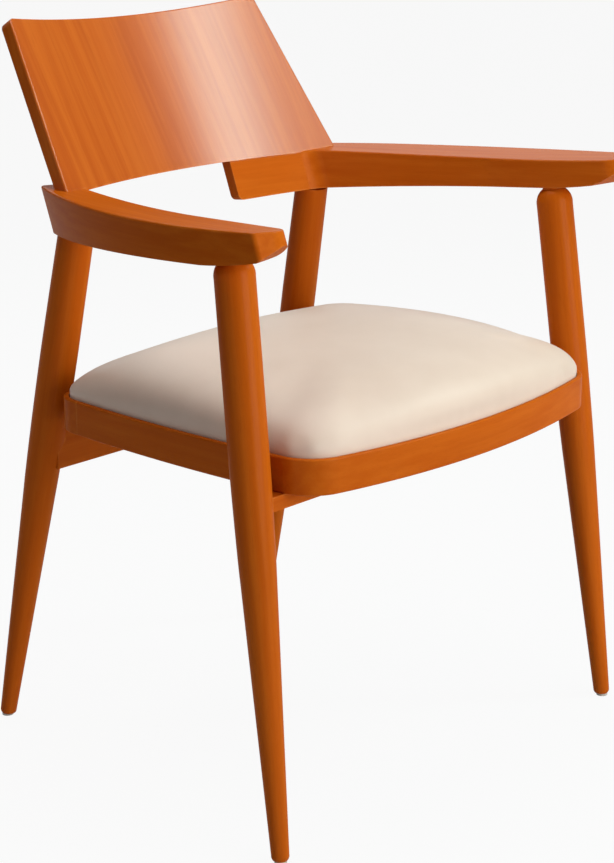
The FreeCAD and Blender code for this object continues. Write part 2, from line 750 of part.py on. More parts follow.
def back_dowel(name, x_name, side, extra):
    """Dowel at the panel's half thickness, along its recline, half in the panel and half in the arm."""
    pin = cylinder(name, "%s + %s" % (cell("back_dowel_radius"), extra),
                   "2 * (%s + %s)" % (cell("back_dowel_half"), extra))
    middle = "({0} + {1} / 2)".format(cell("panel_radius"), cell("panel_thickness"))
    offset = "(sqrt({0} ^ 2 - {1} ^ 2) - {2})".format(middle, cell(x_name), cell("panel_radius"))
    reach = "(%s + %s)" % (cell("back_dowel_half"), extra)
    mirror = "" if side > 0 else "-"
    lean = cell("back_recline")
    at(pin, mirror + cell(x_name),
       "{0} + {1} / cos({2}) - {3} * sin({2})".format(cell("panel_low_y"), offset, lean, reach),
       "{0} - {1} * cos({2})".format(cell("arm_level"), reach, lean))
    return turn(pin, (1, 0, 0), "-" + lean)


DOWEL_SPOTS = (
    ("left_outer", "back_dowel_outer_x", 1),
    ("left_inner", "back_dowel_inner_x", 1),
    ("return_outer", "return_dowel_outer_x", 1),
    ("return_inner", "return_dowel_inner_x", 1),
    ("right_outer", "back_dowel_outer_x", -1),
    ("right_inner", "back_dowel_inner_x", -1))
pins = [back_dowel("dowel_" + tag, x_name, side, "0") for tag, x_name, side in DOWEL_SPOTS]
finish(group("back_dowel_group", pins), "back_dowels")


def dowel_holes(prefix, wanted):
    return [back_dowel(prefix + tag, x_name, side, cell("joint_clearance"))
            for tag, x_name, side in DOWEL_SPOTS if side in wanted]


# Arms


def arm_blank(side_name, side):
    """Plan outline drawn along the arm's lean, trimmed by the side profile of top and underside."""
    body = new_body("arm_%s_blank" % side_name)
    plan = new_sketch(body, "arm_%s_plan" % side_name, "XY_Plane")
    rear = point("arm_inner_rear_x", "arm_inner_rear_y", side)
    nose_inner = point("arm_nose_inner_x", "arm_nose_inner_y", side)
    nose_outer = point("arm_nose_outer_x", "arm_nose_outer_y", side)
    heel = point("arm_heel_x", "arm_heel_y", side)
    end = point("arm_end_x", "arm_end_y", side)
    steps = [
        (point("arm_inner_mid_x", "arm_inner_mid_y", side), point("arm_waist_x", "arm_waist_y", side)),
        (point("arm_flare_x", "arm_flare_y", side), nose_inner),
        (nose_outer,),
        (point("arm_outer_mid_x", "arm_outer_mid_y", side), heel),
        (end,)]
    rounds = [("arm_nose_round", nose_inner), ("arm_crease_round", nose_outer), ("arm_heel_round", heel)]
    if side > 0:
        steps += [
            (point("arm_end_x", "return_root_y"),),
            (point("return_back_mid_x", "return_back_mid_y"), point("return_inner_x", "return_back_y")),
            (point("return_inner_x", "return_front_y"),),
            (point("return_mid_x", "return_mid_y"), rear)]
        rounds.append(("arm_throat_round", rear))
    else:
        steps.append((rear,))
        rounds.append(("arm_heel_round", end))
    outline(plan, rear, steps)
    block = pad(body, plan, "2 * %s" % cell("panel_margin"))
    block.Midplane = True
    block.UseCustomVector = True
    block.AlongSketchNormal = True
    lean = math.radians(value("arm_lean"))
    block.Direction = FreeCAD.Vector(0, math.sin(lean), math.cos(lean))
    bind(block, Direction__y="sin(%s)" % cell("arm_lean"), Direction__z="cos(%s)" % cell("arm_lean"))
    doc.recompute()
    for radius, spot in rounds:

        def upright_at(edge, spot=spot):
            """The sloping edge of the block that passes through a point of the plan."""
            middle = edge.CenterOfMass
            return edge.Length > value("panel_margin") and middle.distanceToPoint(vector(spot)) < 0.5

        block = soften(body, block, radius, upright_at)

    level = cell("arm_level")
    reach = value("arm_reach")
    reach_text = cell("arm_reach")
    ceiling = value("panel_margin")
    ceiling_text = "2 * " + cell("panel_margin")

    def rise(tag):
        """Point of the underside, measured from the level of the top."""
        return free(value(tag + "_y"), cell(tag + "_y"), value(tag + "_z") - value("arm_level"),
                    "%s - %s" % (cell(tag + "_z"), level))

    def top_height(y_number):
        """Height of the top along the fold: flat at the rear, then a round of large radius."""
        run = max(0, value("arm_flat_from") - y_number)
        return value("arm_top_radius") - math.sqrt(value("arm_top_radius") ** 2 - run ** 2)

    def crown(y_number, y_text):
        text = "{0} - sqrt({0} ^ 2 - ({1} - ({2})) ^ 2)".format(
            cell("arm_top_radius"), cell("arm_flat_from"), y_text)
        return free(y_number, y_text, top_height(y_number), text)

    def tilted(spot):
        """Height of the top at a point: it rises outwards from the fold on the left arm's return."""
        out = max(0, side * spot.x - value("arm_fold_x"))
        return top_height(spot.y) + out * math.tan(math.radians(value("arm_tilt")))

    profile = new_sketch(body, "arm_%s_under" % side_name, "YZ_Plane")
    outline(profile, rise("arm_under_rear"), [
        (rise("arm_under_mid"), rise("arm_under_front")),
        (rise("arm_lead"), rise("arm_tip")),
        (free(-reach, "-" + reach_text, value("arm_tip_z") - value("arm_level"),
              "%s - %s" % (cell("arm_tip_z"), level)),),
        (free(-reach, "-" + reach_text, -2 * ceiling, "-" + ceiling_text),),
        (free(reach, reach_text, -2 * ceiling, "-" + ceiling_text),),
        (free(reach, reach_text, value("arm_under_rear_z") - value("arm_level"),
              "%s - %s" % (cell("arm_under_rear_z"), level)),),
        (rise("arm_under_rear"),)])
    cut_through(body, profile)
    sign = "" if side > 0 else "-"

    def cut_along(sketch, way, **slopes):
        """Pocket from a sketch towards one side, with the slopes of its direction bound to the sheet."""
        feature = body.newObject("PartDesign::Pocket", sketch.Name + "_cut")
        feature.Profile = sketch
        feature.setExpression("Length", cell("overall_depth"))
        feature.UseCustomVector = True
        feature.AlongSketchNormal = True
        feature.Direction = FreeCAD.Vector(way, 0, 0)
        bind(feature, **slopes)
        doc.recompute()
        return feature

    sweep = new_sketch(body, "arm_%s_sweep" % side_name, "YZ_Plane",
                       "%s(%s + %s)" % (sign, cell("arm_nose_outer_x"), cell("arm_crease_round")))
    outline(sweep, rise("arm_sweep_start"), [
        (rise("arm_sweep_mid"), rise("arm_sweep_end")),
        (free(-reach, "-" + reach_text, value("arm_sweep_end_z") - value("arm_level"),
              "%s - %s" % (cell("arm_sweep_end_z"), level)),),
        (free(-reach, "-" + reach_text, -2 * ceiling, "-" + ceiling_text),),
        (free(value("arm_sweep_start_y"), cell("arm_sweep_start_y"), -2 * ceiling, "-" + ceiling_text),),
        (rise("arm_sweep_start"),)])
    cut_along(sweep, -side, Direction__y="tan(%s)" % cell("arm_nose_skew"))
    ways = [("outward", side, {"Direction__z": "tan(%s)" % cell("arm_tilt")})]
    if side > 0:
        ways.append(("inward", -side, {}))
    for tag, way, slopes in ways:
        over = new_sketch(body, "arm_%s_top_%s" % (side_name, tag), "YZ_Plane", sign + cell("arm_fold_x"))
        outline(over, free(reach, reach_text, 0, None), [
            (free(value("arm_flat_from"), cell("arm_flat_from"), 0, None),),
            (crown(-value("arm_flat_from"), "-" + cell("arm_flat_from")), crown(-reach, "-" + reach_text)),
            (free(-reach, "-" + reach_text, 2 * ceiling, ceiling_text),),
            (free(reach, reach_text, 2 * ceiling, ceiling_text),),
            (free(reach, reach_text, 0, None),)])
        trimmed = cut_along(over, way, **slopes)

    def round_top(edge):
        """Edges round the top face, without the lines where its stretches meet."""
        ends = [corner.Point for corner in edge.Vertexes]
        on_top = all(abs(spot.z - tilted(spot)) < 0.02 for spot in ends)
        across = all(abs(spot.y - value("arm_flat_from")) < 0.01 for spot in ends)
        along = all(abs(side * spot.x - value("arm_fold_x")) < 0.01 for spot in ends)
        return on_top and not across and not along

    def return_corner(edge):
        """Lower edge of the return's end."""
        middle = edge.CenterOfMass
        short = value("return_corner_round") < edge.Length < 2 * value("return_thickness")
        return short and abs(middle.x - value("return_inner_x")) < 0.1 and middle.z < -value("leg_radius")

    if side > 0:
        trimmed = soften(body, trimmed, "return_corner_round", return_corner)
    soften(body, trimmed, "arm_edge_round", round_top)
    at(body, "0", "0", level)
    return body


def leg_sockets(side_name, side):
    """Blind holes in an arm for the round tenons of its two legs."""
    slack = cell("joint_clearance")
    front = cylinder("arm_%s_front_socket" % side_name, "%s + %s" % (cell("neck_radius"), slack),
                     "%s + %s + %s" % (cell("front_tenon_depth"), cell("front_shoulder_drop"), slack))
    leg_line(front, "front", side, "%s - %s" % (cell("front_length"), cell("front_shoulder_drop")))
    house = cylinder("arm_%s_rear_housing" % side_name, "%s + %s" % (cell("rear_top_radius"), slack),
                     "4 * %s + %s" % (cell("rear_housing_depth"), slack))
    leg_line(house, "rear", side, "%s - 3 * %s" % (cell("rear_length"), cell("rear_housing_depth")))
    pin = cylinder("arm_%s_rear_socket" % side_name, "%s + %s" % (cell("rear_tenon_radius"), slack),
                   "%s + %s + %s" % (cell("rear_housing_depth"), cell("rear_tenon_depth"), slack))
    leg_line(pin, "rear", side, cell("rear_length"))
    return [front, house, pin]


arms = []
for side_name, side in SIDES:
    blank = arm_blank(side_name, side)
    doc.recompute()
    arms.append(blank)
    tools = leg_sockets(side_name, side) + dowel_holes("arm_%s_hole_" % side_name, (side,))
    finish(take_away("arm_%s_solid" % side_name, blank, tools), "armrest_" + side_name)
panel_tools = dowel_holes("panel_hole_", (1, -1)) + arms
finish(take_away("panel_solid", panel_standing, panel_tools), "back_panel")

# Seat rim


def rim_outline(sketch, scale, dome="no_dome", middle="seat_mid_y"):
    """Whole outline of the seat at a scale: bowed front, round corners, tapering sides, straight rear."""
    left = {}
    right = {}
    for tag, end in OUTLINE_POINTS:
        left[tag] = drawn_in(tag, 1, scale, dome, middle)
        right[tag] = drawn_in(tag, -1, scale, dome, middle)
    depth = value("rim_front_y") - value("seat_mid_y")
    depth_text = "(%s - %s)" % (cell("rim_front_y"), cell("seat_mid_y"))
    front = free(0, None, value(middle) + depth * value(scale),
                 "%s + %s * %s" % (cell(middle), depth_text, cell(scale)))
    outline(sketch, right["front_end"], [
        (front, left["front_end"]),
        (left["corner"], left["side_front"]),
        (left["side"], left["side_rear"]),
        (left["rear_corner"], left["rear_end"]),
        (right["rear_end"],),
        (right["rear_corner"], right["side_rear"]),
        (right["side"], right["side_front"]),
        (right["corner"], right["front_end"])])


ring = new_body("rim_blank")
ring_plan = new_sketch(ring, "rim_plan", "XY_Plane", cell("rim_low"))
rim_outline(ring_plan, "full_scale")
ring_block = pad(ring, ring_plan, cell("rim_height"))
doc.recompute()
soften(ring, ring_block, "rim_edge_round", lambda edge: edge.BoundBox.ZLength < 0.01)
rebate = new_body("rim_rebate")
rebate_plan = new_sketch(rebate, "rim_rebate_plan", "XY_Plane", cell("rebate_floor"))
rim_outline(rebate_plan, "lip_scale")
pad(rebate, rebate_plan, "2 * %s" % cell("rebate_depth"))
doc.recompute()


def plain_box(name, x_low, x_high, y_low, y_high, z_low, z_high):
    """Box between two corners, each side given by an expression."""
    piece = box(name, "(%s) - (%s)" % (x_high, x_low), "(%s) - (%s)" % (y_high, y_low),
                "(%s) - (%s)" % (z_high, z_low))
    return at(piece, x_low, y_low, z_low)


low_z = "%s - %s" % (cell("rim_low"), cell("rim_height"))
high_z = "%s + %s" % (cell("rim_top"), cell("rim_height"))
wide_x = cell("overall_depth")
hole = plain_box("rim_opening", "-" + cell("opening_half"), cell("opening_half"),
                 cell("opening_front_y"), cell("opening_rear_y"), low_z, high_z)
ring_open = take_away("rim_ring", ring, [rebate, hole])
zones = {
    "front": ("-" + wide_x, wide_x, "-" + wide_x, cell("rim_joint_y")),
    "left": ("0", wide_x, cell("rim_joint_y"), cell("opening_rear_y")),
    "right": ("-" + wide_x, "0", cell("rim_joint_y"), cell("opening_rear_y")),
    "rear": ("-" + wide_x, wide_x, cell("opening_rear_y"), wide_x)}


def rim_dowel(name, side, y_name, extra):
    """Dowel along Y across a joint between two rails of the rim."""
    pin = cylinder(name, "%s + %s" % (cell("rim_dowel_radius"), extra),
                   "2 * (%s + %s)" % (cell("rim_dowel_half"), extra))
    mirror = "" if side > 0 else "-"
    at(pin, "%s(%s + %s) / 2" % (mirror, cell("opening_half"), cell("rim_side_rear_x")),
       "%s - %s - %s" % (cell(y_name), cell("rim_dowel_half"), extra),
       "%s + (%s - %s) / 2" % (cell("rim_low"), cell("rebate_floor"), cell("rim_low")))
    return turn(pin, (-1, 0, 0), "90")


JOINTS = (("front", "rim_joint_y"), ("rear", "opening_rear_y"))
pins = [rim_dowel("rim_dowel_%s_%s" % (tag, side_name), side, y_name, "0")
        for tag, y_name in JOINTS for side_name, side in SIDES]
finish(group("rim_dowel_group", pins), "seat_rim_dowels")


def rail_dowel(name, end, side, extra):
    """Upright dowel between a cross rail and the rim that rests on it."""
    pin = cylinder(name, "%s + %s" % (cell("rail_dowel_radius"), extra),
                   "2 * (%s + %s)" % (cell("rail_dowel_half"), extra))
    mirror = "" if side > 0 else "-"
    return at(pin, mirror + cell(end + "_rail_dowel_x"), cell(end + "_rail_y"),
              "%s - %s - %s" % (cell("rim_low"), cell("rail_dowel_half"), extra))


pins = [rail_dowel("rail_dowel_%s_%s" % (end, side_name), end, side, "0")
        for end in ("front", "rear") for side_name, side in SIDES]
finish(group("rail_dowel_group", pins), "rail_dowels")

rear_tongue = plain_box("rim_rear_tongue", "-" + cell("rear_tongue_half"), cell("rear_tongue_half"),
                        cell("opening_rear_y"), cell("rear_tongue_y"),
                        cell("rim_low"), cell("rebate_floor"))
for zone, (x_low, x_high, y_low, y_high) in zones.items():
    room = plain_box("rim_zone_" + zone, x_low, x_high, y_low, y_high, low_z, high_z)
    rail = doc.addObject("Part::Common", "rim_%s_blank" % zone)
    rail.Base = ring_open
    rail.Tool = room
    holes = []
    for tag, y_name in JOINTS:
        for side_name, side in SIDES:
            if zone in (tag, side_name):
                holes.append(rim_dowel("rim_%s_hole_%s_%s" % (zone, tag, side_name), side, y_name,
                                       cell("joint_clearance")))
    if zone in ("front", "rear"):
        for side_name, side in SIDES:
            holes.append(rail_dowel("rim_%s_rail_hole_%s" % (zone, side_name), zone, side,
                                    cell("joint_clearance")))
    if zone == "rear":
        rail = join("rim_rear_whole", [rail, rear_tongue])
    finish(take_away("rim_%s_solid" % zone, rail, holes), "seat_rim_" + zone)

# Cross rails

for end in ("front", "rear"):
    rail_front = cell(end + "_rail_front_y")
    rail_back = "%s + %s" % (rail_front, cell(end + "_rail_depth"))
    bar = plain_box(end + "_rail_bar", "-" + cell(end + "_rail_leg_x"), cell(end + "_rail_leg_x"),
                    rail_front, rail_back, cell(end + "_rail_low"), cell("rim_low"))
    coped = take_away(end + "_rail_coped", bar, [blanks[end, "left"], blanks[end, "right"]])
    tenons = [rail_tenon(end, side_name, side, "%s_rail_tenon_%s" % (end, side_name), "0")
              for side_name, side in SIDES]
    whole = join(end + "_rail_whole", [coped] + tenons)
    holes = [rail_dowel("%s_rail_hole_%s" % (end, side_name), end, side, cell("joint_clearance"))
             for side_name, side in SIDES]
    finish(take_away(end + "_rail_solid", whole, holes), end + "_cross_rail")

# Seat pad


def crown_loft(name):
    """Cushion form: level sections that draw in towards the top, tucked in slightly at the rim."""
    body = new_body(name)
    sections = []
    for number in range(len(CROWN_SHARES) + 2):
        tag = "%s_%d" % (name, number)
        section = new_sketch(body, tag + "_section", "XY_Plane", cell(tag + "_level"))
        rim_outline(section, tag + "_scale", tag + "_dome", tag + "_mid_y")
        sections.append(section)
    form = body.newObject("PartDesign::AdditiveLoft", name + "_form")
    form.Profile = sections[0]
    form.Sections = sections[1:]
    form.Ruled = True
    doc.recompute()
    return body


def flat_piece(name, scale, low, height):
    """Flat board with the seat's outline at a scale."""
    body = new_body(name)
    sketch = new_sketch(body, name + "_plan", "XY_Plane", cell(low))
    rim_outline(sketch, scale)
    pad(body, sketch, height)
    doc.recompute()
    return body


CORNERS = [(side_name, side, end) for side_name, side in SIDES for end in ("front", "rear")]


def corner_of(side, end):
    """Corner of the rim's opening: expressions for its place and the sign of the way inwards."""
    x_text = cell("opening_half") if side > 0 else "-" + cell("opening_half")
    return x_text, cell("opening_%s_y" % end), -side, 1 if end == "front" else -1


def seat_screw(name, side, end, radius, low, high):
    """Upright cylinder on the axis of one of the screws that hold the pad."""
    x_text, y_text, x_way, y_way = corner_of(side, end)
    pin = cylinder(name, radius, "(%s) - (%s)" % (high, low))
    return at(pin, "%s + %d * %s" % (x_text, x_way, cell("screw_inset")),
              "%s + %d * %s" % (y_text, y_way, cell("screw_inset")), low)


def screw_holes(prefix):
    return [seat_screw("%s_%s_%s" % (prefix, side_name, end), side, end,
                       "%s + %s" % (cell("screw_radius"), cell("joint_clearance")), cell("block_low"),
                       "%s + %s + %s" % (cell("board_low"), cell("screw_bite"), cell("joint_clearance")))
            for side_name, side, end in CORNERS]


outside = crown_loft("cover_outside")
lining = crown_loft("cover_lining")
under_gap = flat_piece("cover_under_gap", "flange_scale", "rim_low", cell("rim_height"))
finish(take_away("cover_solid", outside, [lining, under_gap]), "seat_cover")

board_blank = flat_piece("board_blank", "board_scale", "board_low", cell("board_thickness"))
finish(take_away("board_solid", board_blank, screw_holes("board_hole")), "seat_board")

finish(crown_loft("foam_core"), "seat_foam")

dust = plain_box("dust_blank",
                 "-%s + %s" % (cell("opening_half"), cell("dust_margin")),
                 "%s - %s" % (cell("opening_half"), cell("dust_margin")),
                 "%s + %s" % (cell("opening_front_y"), cell("dust_margin")),
                 "%s - %s" % (cell("opening_rear_y"), cell("dust_margin")),
                 cell("dust_low"), cell("board_low"))
finish(take_away("dust_solid", dust, screw_holes("dust_hole")), "dust_cover")

staples = []
edge = "%s + %s" % (cell("dust_margin"), cell("staple_inset"))
for number in (-1.5, -0.5, 0.5, 1.5):
    along = "%g * %s" % (number, cell("staple_pitch"))
    sideways = "%s + %s" % (cell("seat_mid_y"), along)
    spots = (
        ("front", True, along, "%s + %s" % (cell("opening_front_y"), edge)),
        ("rear", True, along, "%s - (%s)" % (cell("opening_rear_y"), edge)),
        ("left", False, "%s - (%s)" % (cell("opening_half"), edge), sideways),
        ("right", False, "-%s + %s" % (cell("opening_half"), edge), sideways))
    for tag, lengthwise, x_text, y_text in spots:
        long_side, short_side = cell("staple_length"), cell("staple_width")
        if not lengthwise:
            long_side, short_side = short_side, long_side
        staple = box("staple_%s_%d" % (tag, number * 2 + 3), long_side, short_side, cell("staple_height"))
        at(staple, "%s - %s / 2" % (x_text, long_side), "%s - %s / 2" % (y_text, short_side),
           "%s - %s" % (cell("dust_low"), cell("staple_height")))
        staples.append(staple)
finish(group("staple_group", staples), "dust_staples")

# Corner blocks and screws

blocks = []
screws = []
for side_name, side, end in CORNERS:
    name = "block_%s_%s" % (side_name, end)
    x_text, y_text, x_way, y_way = corner_of(side, end)
    x_number = side * value("opening_half")
    y_number = value("opening_%s_y" % end)
    reach = value("block_size")
    x_end = "%s + %d * %s" % (x_text, x_way, cell("block_size"))
    y_end = "%s + %d * %s" % (y_text, y_way, cell("block_size"))
    body = new_body(name)
    sketch = new_sketch(body, name + "_plan", "XY_Plane", cell("block_low"))
    outline(sketch, free(x_number, x_text, y_number, y_text), [
        (free(x_number + x_way * reach, x_end, y_number, y_text),),
        (free(x_number, x_text, y_number + y_way * reach, y_end),),
        (free(x_number, x_text, y_number, y_text),)])
    pad(body, sketch, cell("block_height"))
    doc.recompute()
    hole_radius = "%s + %s" % (cell("screw_radius"), cell("joint_clearance"))
    hole = seat_screw(name + "_hole", side, end, hole_radius,
                      "%s - %s" % (cell("block_low"), cell("block_height")), cell("rim_top"))
    blocks.append(take_away(name + "_solid", body, [hole]))
    shank = seat_screw(name + "_shank", side, end, cell("screw_radius"),
                       "%s - %s" % (cell("block_low"), cell("screw_head_height")),
                       "%s + %s" % (cell("board_low"), cell("screw_bite")))
    head = seat_screw(name + "_head", side, end, cell("screw_head_radius"),
                      "%s - %s" % (cell("block_low"), cell("screw_head_height")), cell("block_low"))
    screws.append(join(name + "_screw", [shank, head]))
finish(group("block_group", blocks), "corner_blocks")
finish(group("screw_group", screws), "seat_screws")

doc.recompute()

for thing in doc.Objects:
    if "Invalid" in thing.State or "Error" in thing.State:
        raise RuntimeError("%s did not build: %s" % (thing.Label, thing.State))

os.makedirs("parts", exist_ok=True)
for thing in finished:
    shape = thing.Shape
    if shape.isNull() or not shape.isValid():
        raise RuntimeError("%s has no valid shape" % thing.Label)
    shape.exportStep("parts/%s.step" % thing.Label)
    limits = shape.BoundBox
    print("%-20s solids %d volume %.0f  x %.1f %.1f  y %.1f %.1f  z %.1f %.1f" % (
        thing.Label, len(shape.Solids), shape.Volume, limits.XMin, limits.XMax,
        limits.YMin, limits.YMax, limits.ZMin, limits.ZMax))
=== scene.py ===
"""Looks of an open wooden armchair with an upholstered seat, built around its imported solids.

Metres. X runs to the sitter's left, the front faces -Y, Z is up and the feet stand on Z = 0.
"""

import math

import bmesh
import bpy
import numpy as np
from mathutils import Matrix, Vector


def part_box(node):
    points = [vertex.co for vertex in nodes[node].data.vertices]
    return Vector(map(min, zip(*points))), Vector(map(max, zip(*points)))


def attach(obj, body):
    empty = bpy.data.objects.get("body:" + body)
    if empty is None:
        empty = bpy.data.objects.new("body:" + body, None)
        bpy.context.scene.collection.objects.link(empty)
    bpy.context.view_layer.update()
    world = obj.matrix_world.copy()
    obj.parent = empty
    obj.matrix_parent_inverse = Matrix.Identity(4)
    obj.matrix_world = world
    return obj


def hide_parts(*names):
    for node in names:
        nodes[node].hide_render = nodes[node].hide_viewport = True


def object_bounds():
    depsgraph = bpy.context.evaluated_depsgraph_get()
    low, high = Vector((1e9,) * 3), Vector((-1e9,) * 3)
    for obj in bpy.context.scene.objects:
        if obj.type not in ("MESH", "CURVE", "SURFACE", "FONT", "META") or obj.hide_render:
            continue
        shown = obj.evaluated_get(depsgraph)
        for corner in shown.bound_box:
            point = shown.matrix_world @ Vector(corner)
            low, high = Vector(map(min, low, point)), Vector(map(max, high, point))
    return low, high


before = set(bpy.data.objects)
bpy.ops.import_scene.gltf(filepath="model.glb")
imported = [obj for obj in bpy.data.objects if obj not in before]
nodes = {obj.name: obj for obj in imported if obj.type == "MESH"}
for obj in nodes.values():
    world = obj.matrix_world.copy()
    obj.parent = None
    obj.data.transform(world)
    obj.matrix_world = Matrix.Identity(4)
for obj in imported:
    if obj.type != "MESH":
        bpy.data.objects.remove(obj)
cad_low, cad_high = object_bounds()
scene = bpy.context.scene
scene.view_settings.view_transform = "Standard"

# Camera at the place and angle the photograph was taken from

IMAGE_TALL = 863
FOCAL_PIXELS = 2183
SENSOR = 36
CAMERA_PLACE = (-1.754, -1.560, 1.016)
CAMERA_DOWN = 16.04
CAMERA_TURN = -48.75

camera_data = bpy.data.cameras.new("camera")
camera_data.sensor_width = SENSOR
camera_data.lens = FOCAL_PIXELS * SENSOR / IMAGE_TALL
camera = bpy.data.objects.new("camera", camera_data)
camera.location = CAMERA_PLACE
camera.rotation_euler = (math.radians(90 - CAMERA_DOWN), 0, math.radians(CAMERA_TURN))
scene.collection.objects.link(camera)
scene.camera = camera


# Small helpers for node trees

# Where the Mix node keeps its sockets for colours and for vectors
COLOUR_FIRST = 6
COLOUR_SECOND = 7
COLOUR_OUT = 2
VECTOR_FIRST = 4
VECTOR_SECOND = 5
VECTOR_OUT = 1


def add(tree, kind, settings=None, inputs=None):
    """One node of a tree, with its settings and the values of its own sockets."""
    made = tree.nodes.new("ShaderNode" + kind)
    for name, value in (settings or {}).items():
        setattr(made, name, value)
    for name, value in (inputs or {}).items():
        made.inputs[name].default_value = value
    return made


def wire(tree, source, target):
    """Link one output socket to one input socket."""
    tree.links.new(source, target)


def shade_group(name, inputs, outputs):
    """Empty node group with named sockets: its tree, its input sockets and its output sockets."""
    tree = bpy.data.node_groups.new(name, "ShaderNodeTree")
    for side, sockets in (("INPUT", inputs), ("OUTPUT", outputs)):
        for label, kind in sockets.items():
            tree.interface.new_socket(label, in_out=side, socket_type="NodeSocket" + kind)
    entry = tree.nodes.new("NodeGroupInput")
    end = tree.nodes.new("NodeGroupOutput")
    return tree, entry.outputs, end.inputs


def place_group(tree, group, inputs):
    """A shared group placed in a material, with that material's own values."""
    made = tree.nodes.new("ShaderNodeGroup")
    made.node_tree = group
    for name, value in inputs.items():
        made.inputs[name].default_value = value
    return made


def math_node(tree, how, first, second, clamp=False):
    """Math node on two sockets or numbers; gives its output socket."""
    made = add(tree, "Math", {"operation": how, "use_clamp": clamp})
    for slot, value in enumerate((first, second)):
        if isinstance(value, (int, float)):
            made.inputs[slot].default_value = value
        else:
            wire(tree, value, made.inputs[slot])
    return made.outputs[0]


def mix_colours(tree, share, first, second):
    """Colour that goes from the first socket to the second as the share goes from 0 to 1."""
    made = add(tree, "Mix", {"data_type": "RGBA"})
    wire(tree, share, made.inputs[0])
    wire(tree, first, made.inputs[COLOUR_FIRST])
    wire(tree, second, made.inputs[COLOUR_SECOND])
    return made.outputs[COLOUR_OUT]


def stretched_noise(tree, vector, stretch, detail, roughness):
    """Noise on coordinates multiplied by three numbers, so that it runs in streaks."""
    pull = add(tree, "VectorMath", {"operation": "MULTIPLY"})
    wire(tree, vector, pull.inputs[0])
    pull.inputs[1].default_value = stretch
    noise = add(tree, "TexNoise", None, {"Scale": 1, "Detail": detail, "Roughness": roughness})
    wire(tree, pull.outputs[0], noise.inputs["Vector"])
    return noise.outputs["Fac"]


def spread(tree, value, low, high):
    """Value stretched so that low becomes 0 and high becomes 1, smoothly and within those ends."""
    made = add(tree, "MapRange", {"interpolation_type": "SMOOTHSTEP"}, {"From Min": low, "From Max": high})
    wire(tree, value, made.inputs["Value"])
    return made.outputs["Result"]


# Shared surface effects

BANDS = {"stretch": (30, 30, 2.2), "detail": 2, "roughness": 0.5}
BAND_RANGE = (0.3, 0.7)
STREAKS = {"stretch": (110, 110, 3.5), "detail": 3, "roughness": 0.55}
STREAK_RANGE = (0.32, 0.72)
FIBRES = {"stretch": (640, 640, 11), "detail": 2, "roughness": 0.5}
FIBRE_ROUGHNESS = 0.14
PORES = {"stretch": (1500, 1500, 48), "detail": 1, "roughness": 0.4}
PORE_RANGE = (0.6, 0.74)
# Noise and edge ranges of the painted highlight on rounded edges
EDGE_HIGHLIGHT_PATCHES = {"stretch": (60, 60, 60), "detail": 2, "roughness": 0.5}
EDGE_HIGHLIGHT_PATCH_RANGE = (0.35, 0.65)
EDGE_HIGHLIGHT_TURN_RANGE = (0.02, 0.2)
MOTTLE = {"Detail": 3, "Roughness": 0.55}
MOTTLE_RANGE = (0.3, 0.7)


def make_wood_grain():
    """Stained wood with the grain along Z: broad growth bands, streaks, fine fibres and open pores."""
    tree, given, end = shade_group(
        "wood grain",
        {"Vector": "Vector", "Dark": "Color", "Mid": "Color", "Light": "Color",
         "Figure": "Float", "Pores": "Float", "Gloss": "Float"},
        {"Color": "Color", "Roughness": "Float", "Height": "Float"})
    bands = spread(tree, stretched_noise(tree, given["Vector"], **BANDS), *BAND_RANGE)
    streaks = spread(tree, stretched_noise(tree, given["Vector"], **STREAKS), *STREAK_RANGE)
    fibres = stretched_noise(tree, given["Vector"], **FIBRES)
    pores = spread(tree, stretched_noise(tree, given["Vector"], **PORES), *PORE_RANGE)
    figure = math_node(tree, "MULTIPLY", bands, given["Figure"], True)
    toned = mix_colours(tree, figure, given["Mid"], given["Dark"])
    lift = math_node(tree, "MULTIPLY", streaks, given["Figure"], True)
    toned = mix_colours(tree, lift, toned, given["Light"])
    pore_depth = math_node(tree, "MULTIPLY", pores, given["Pores"], True)
    toned = mix_colours(tree, pore_depth, toned, given["Dark"])
    wire(tree, toned, end["Color"])
    rough = math_node(tree, "MULTIPLY_ADD", fibres, FIBRE_ROUGHNESS)
    wire(tree, given["Gloss"], rough.node.inputs[2])
    wire(tree, rough, end["Roughness"])
    height = math_node(tree, "SUBTRACT", fibres, pore_depth)
    wire(tree, height, end["Height"])
    return tree


def make_painted_edge_highlight():
    """Mask that is 1 on rounded-over edges, broken up by a soft noise; it places a painted highlight along
    the edges.
    """
    tree, given, end = shade_group(
        "painted edge highlight", {"Vector": "Vector", "Width": "Float"}, {"Mask": "Float"})
    bevel = add(tree, "Bevel", {"samples": 4})
    wire(tree, given["Width"], bevel.inputs["Radius"])
    surface = add(tree, "NewGeometry")
    facing = add(tree, "VectorMath", {"operation": "DOT_PRODUCT"})
    wire(tree, bevel.outputs["Normal"], facing.inputs[0])
    wire(tree, surface.outputs["True Normal"], facing.inputs[1])
    turned = spread(tree, math_node(tree, "SUBTRACT", 1.0, facing.outputs["Value"]), *EDGE_HIGHLIGHT_TURN_RANGE)
    patches = spread(tree, stretched_noise(tree, given["Vector"], **EDGE_HIGHLIGHT_PATCHES), *EDGE_HIGHLIGHT_PATCH_RANGE)
    wire(tree, math_node(tree, "MULTIPLY", turned, patches, True), end["Mask"])
    return tree


def make_soft_mottle():
    """Slow light and dark patches over a surface, as in hide, felt or moulded plastic."""
    tree, given, end = shade_group(
        "soft mottle", {"Vector": "Vector", "Scale": "Float"}, {"Value": "Float"})
    noise = add(tree, "TexNoise", None, MOTTLE)
    wire(tree, given["Vector"], noise.inputs["Vector"])
    wire(tree, given["Scale"], noise.inputs["Scale"])
    wire(tree, spread(tree, noise.outputs["Fac"], *MOTTLE_RANGE), end["Value"])
    return tree


WOOD_GRAIN = make_wood_grain()
EDGE_HIGHLIGHT_GROUP = make_painted_edge_highlight()
SOFT_MOTTLE = make_soft_mottle()


# Materials

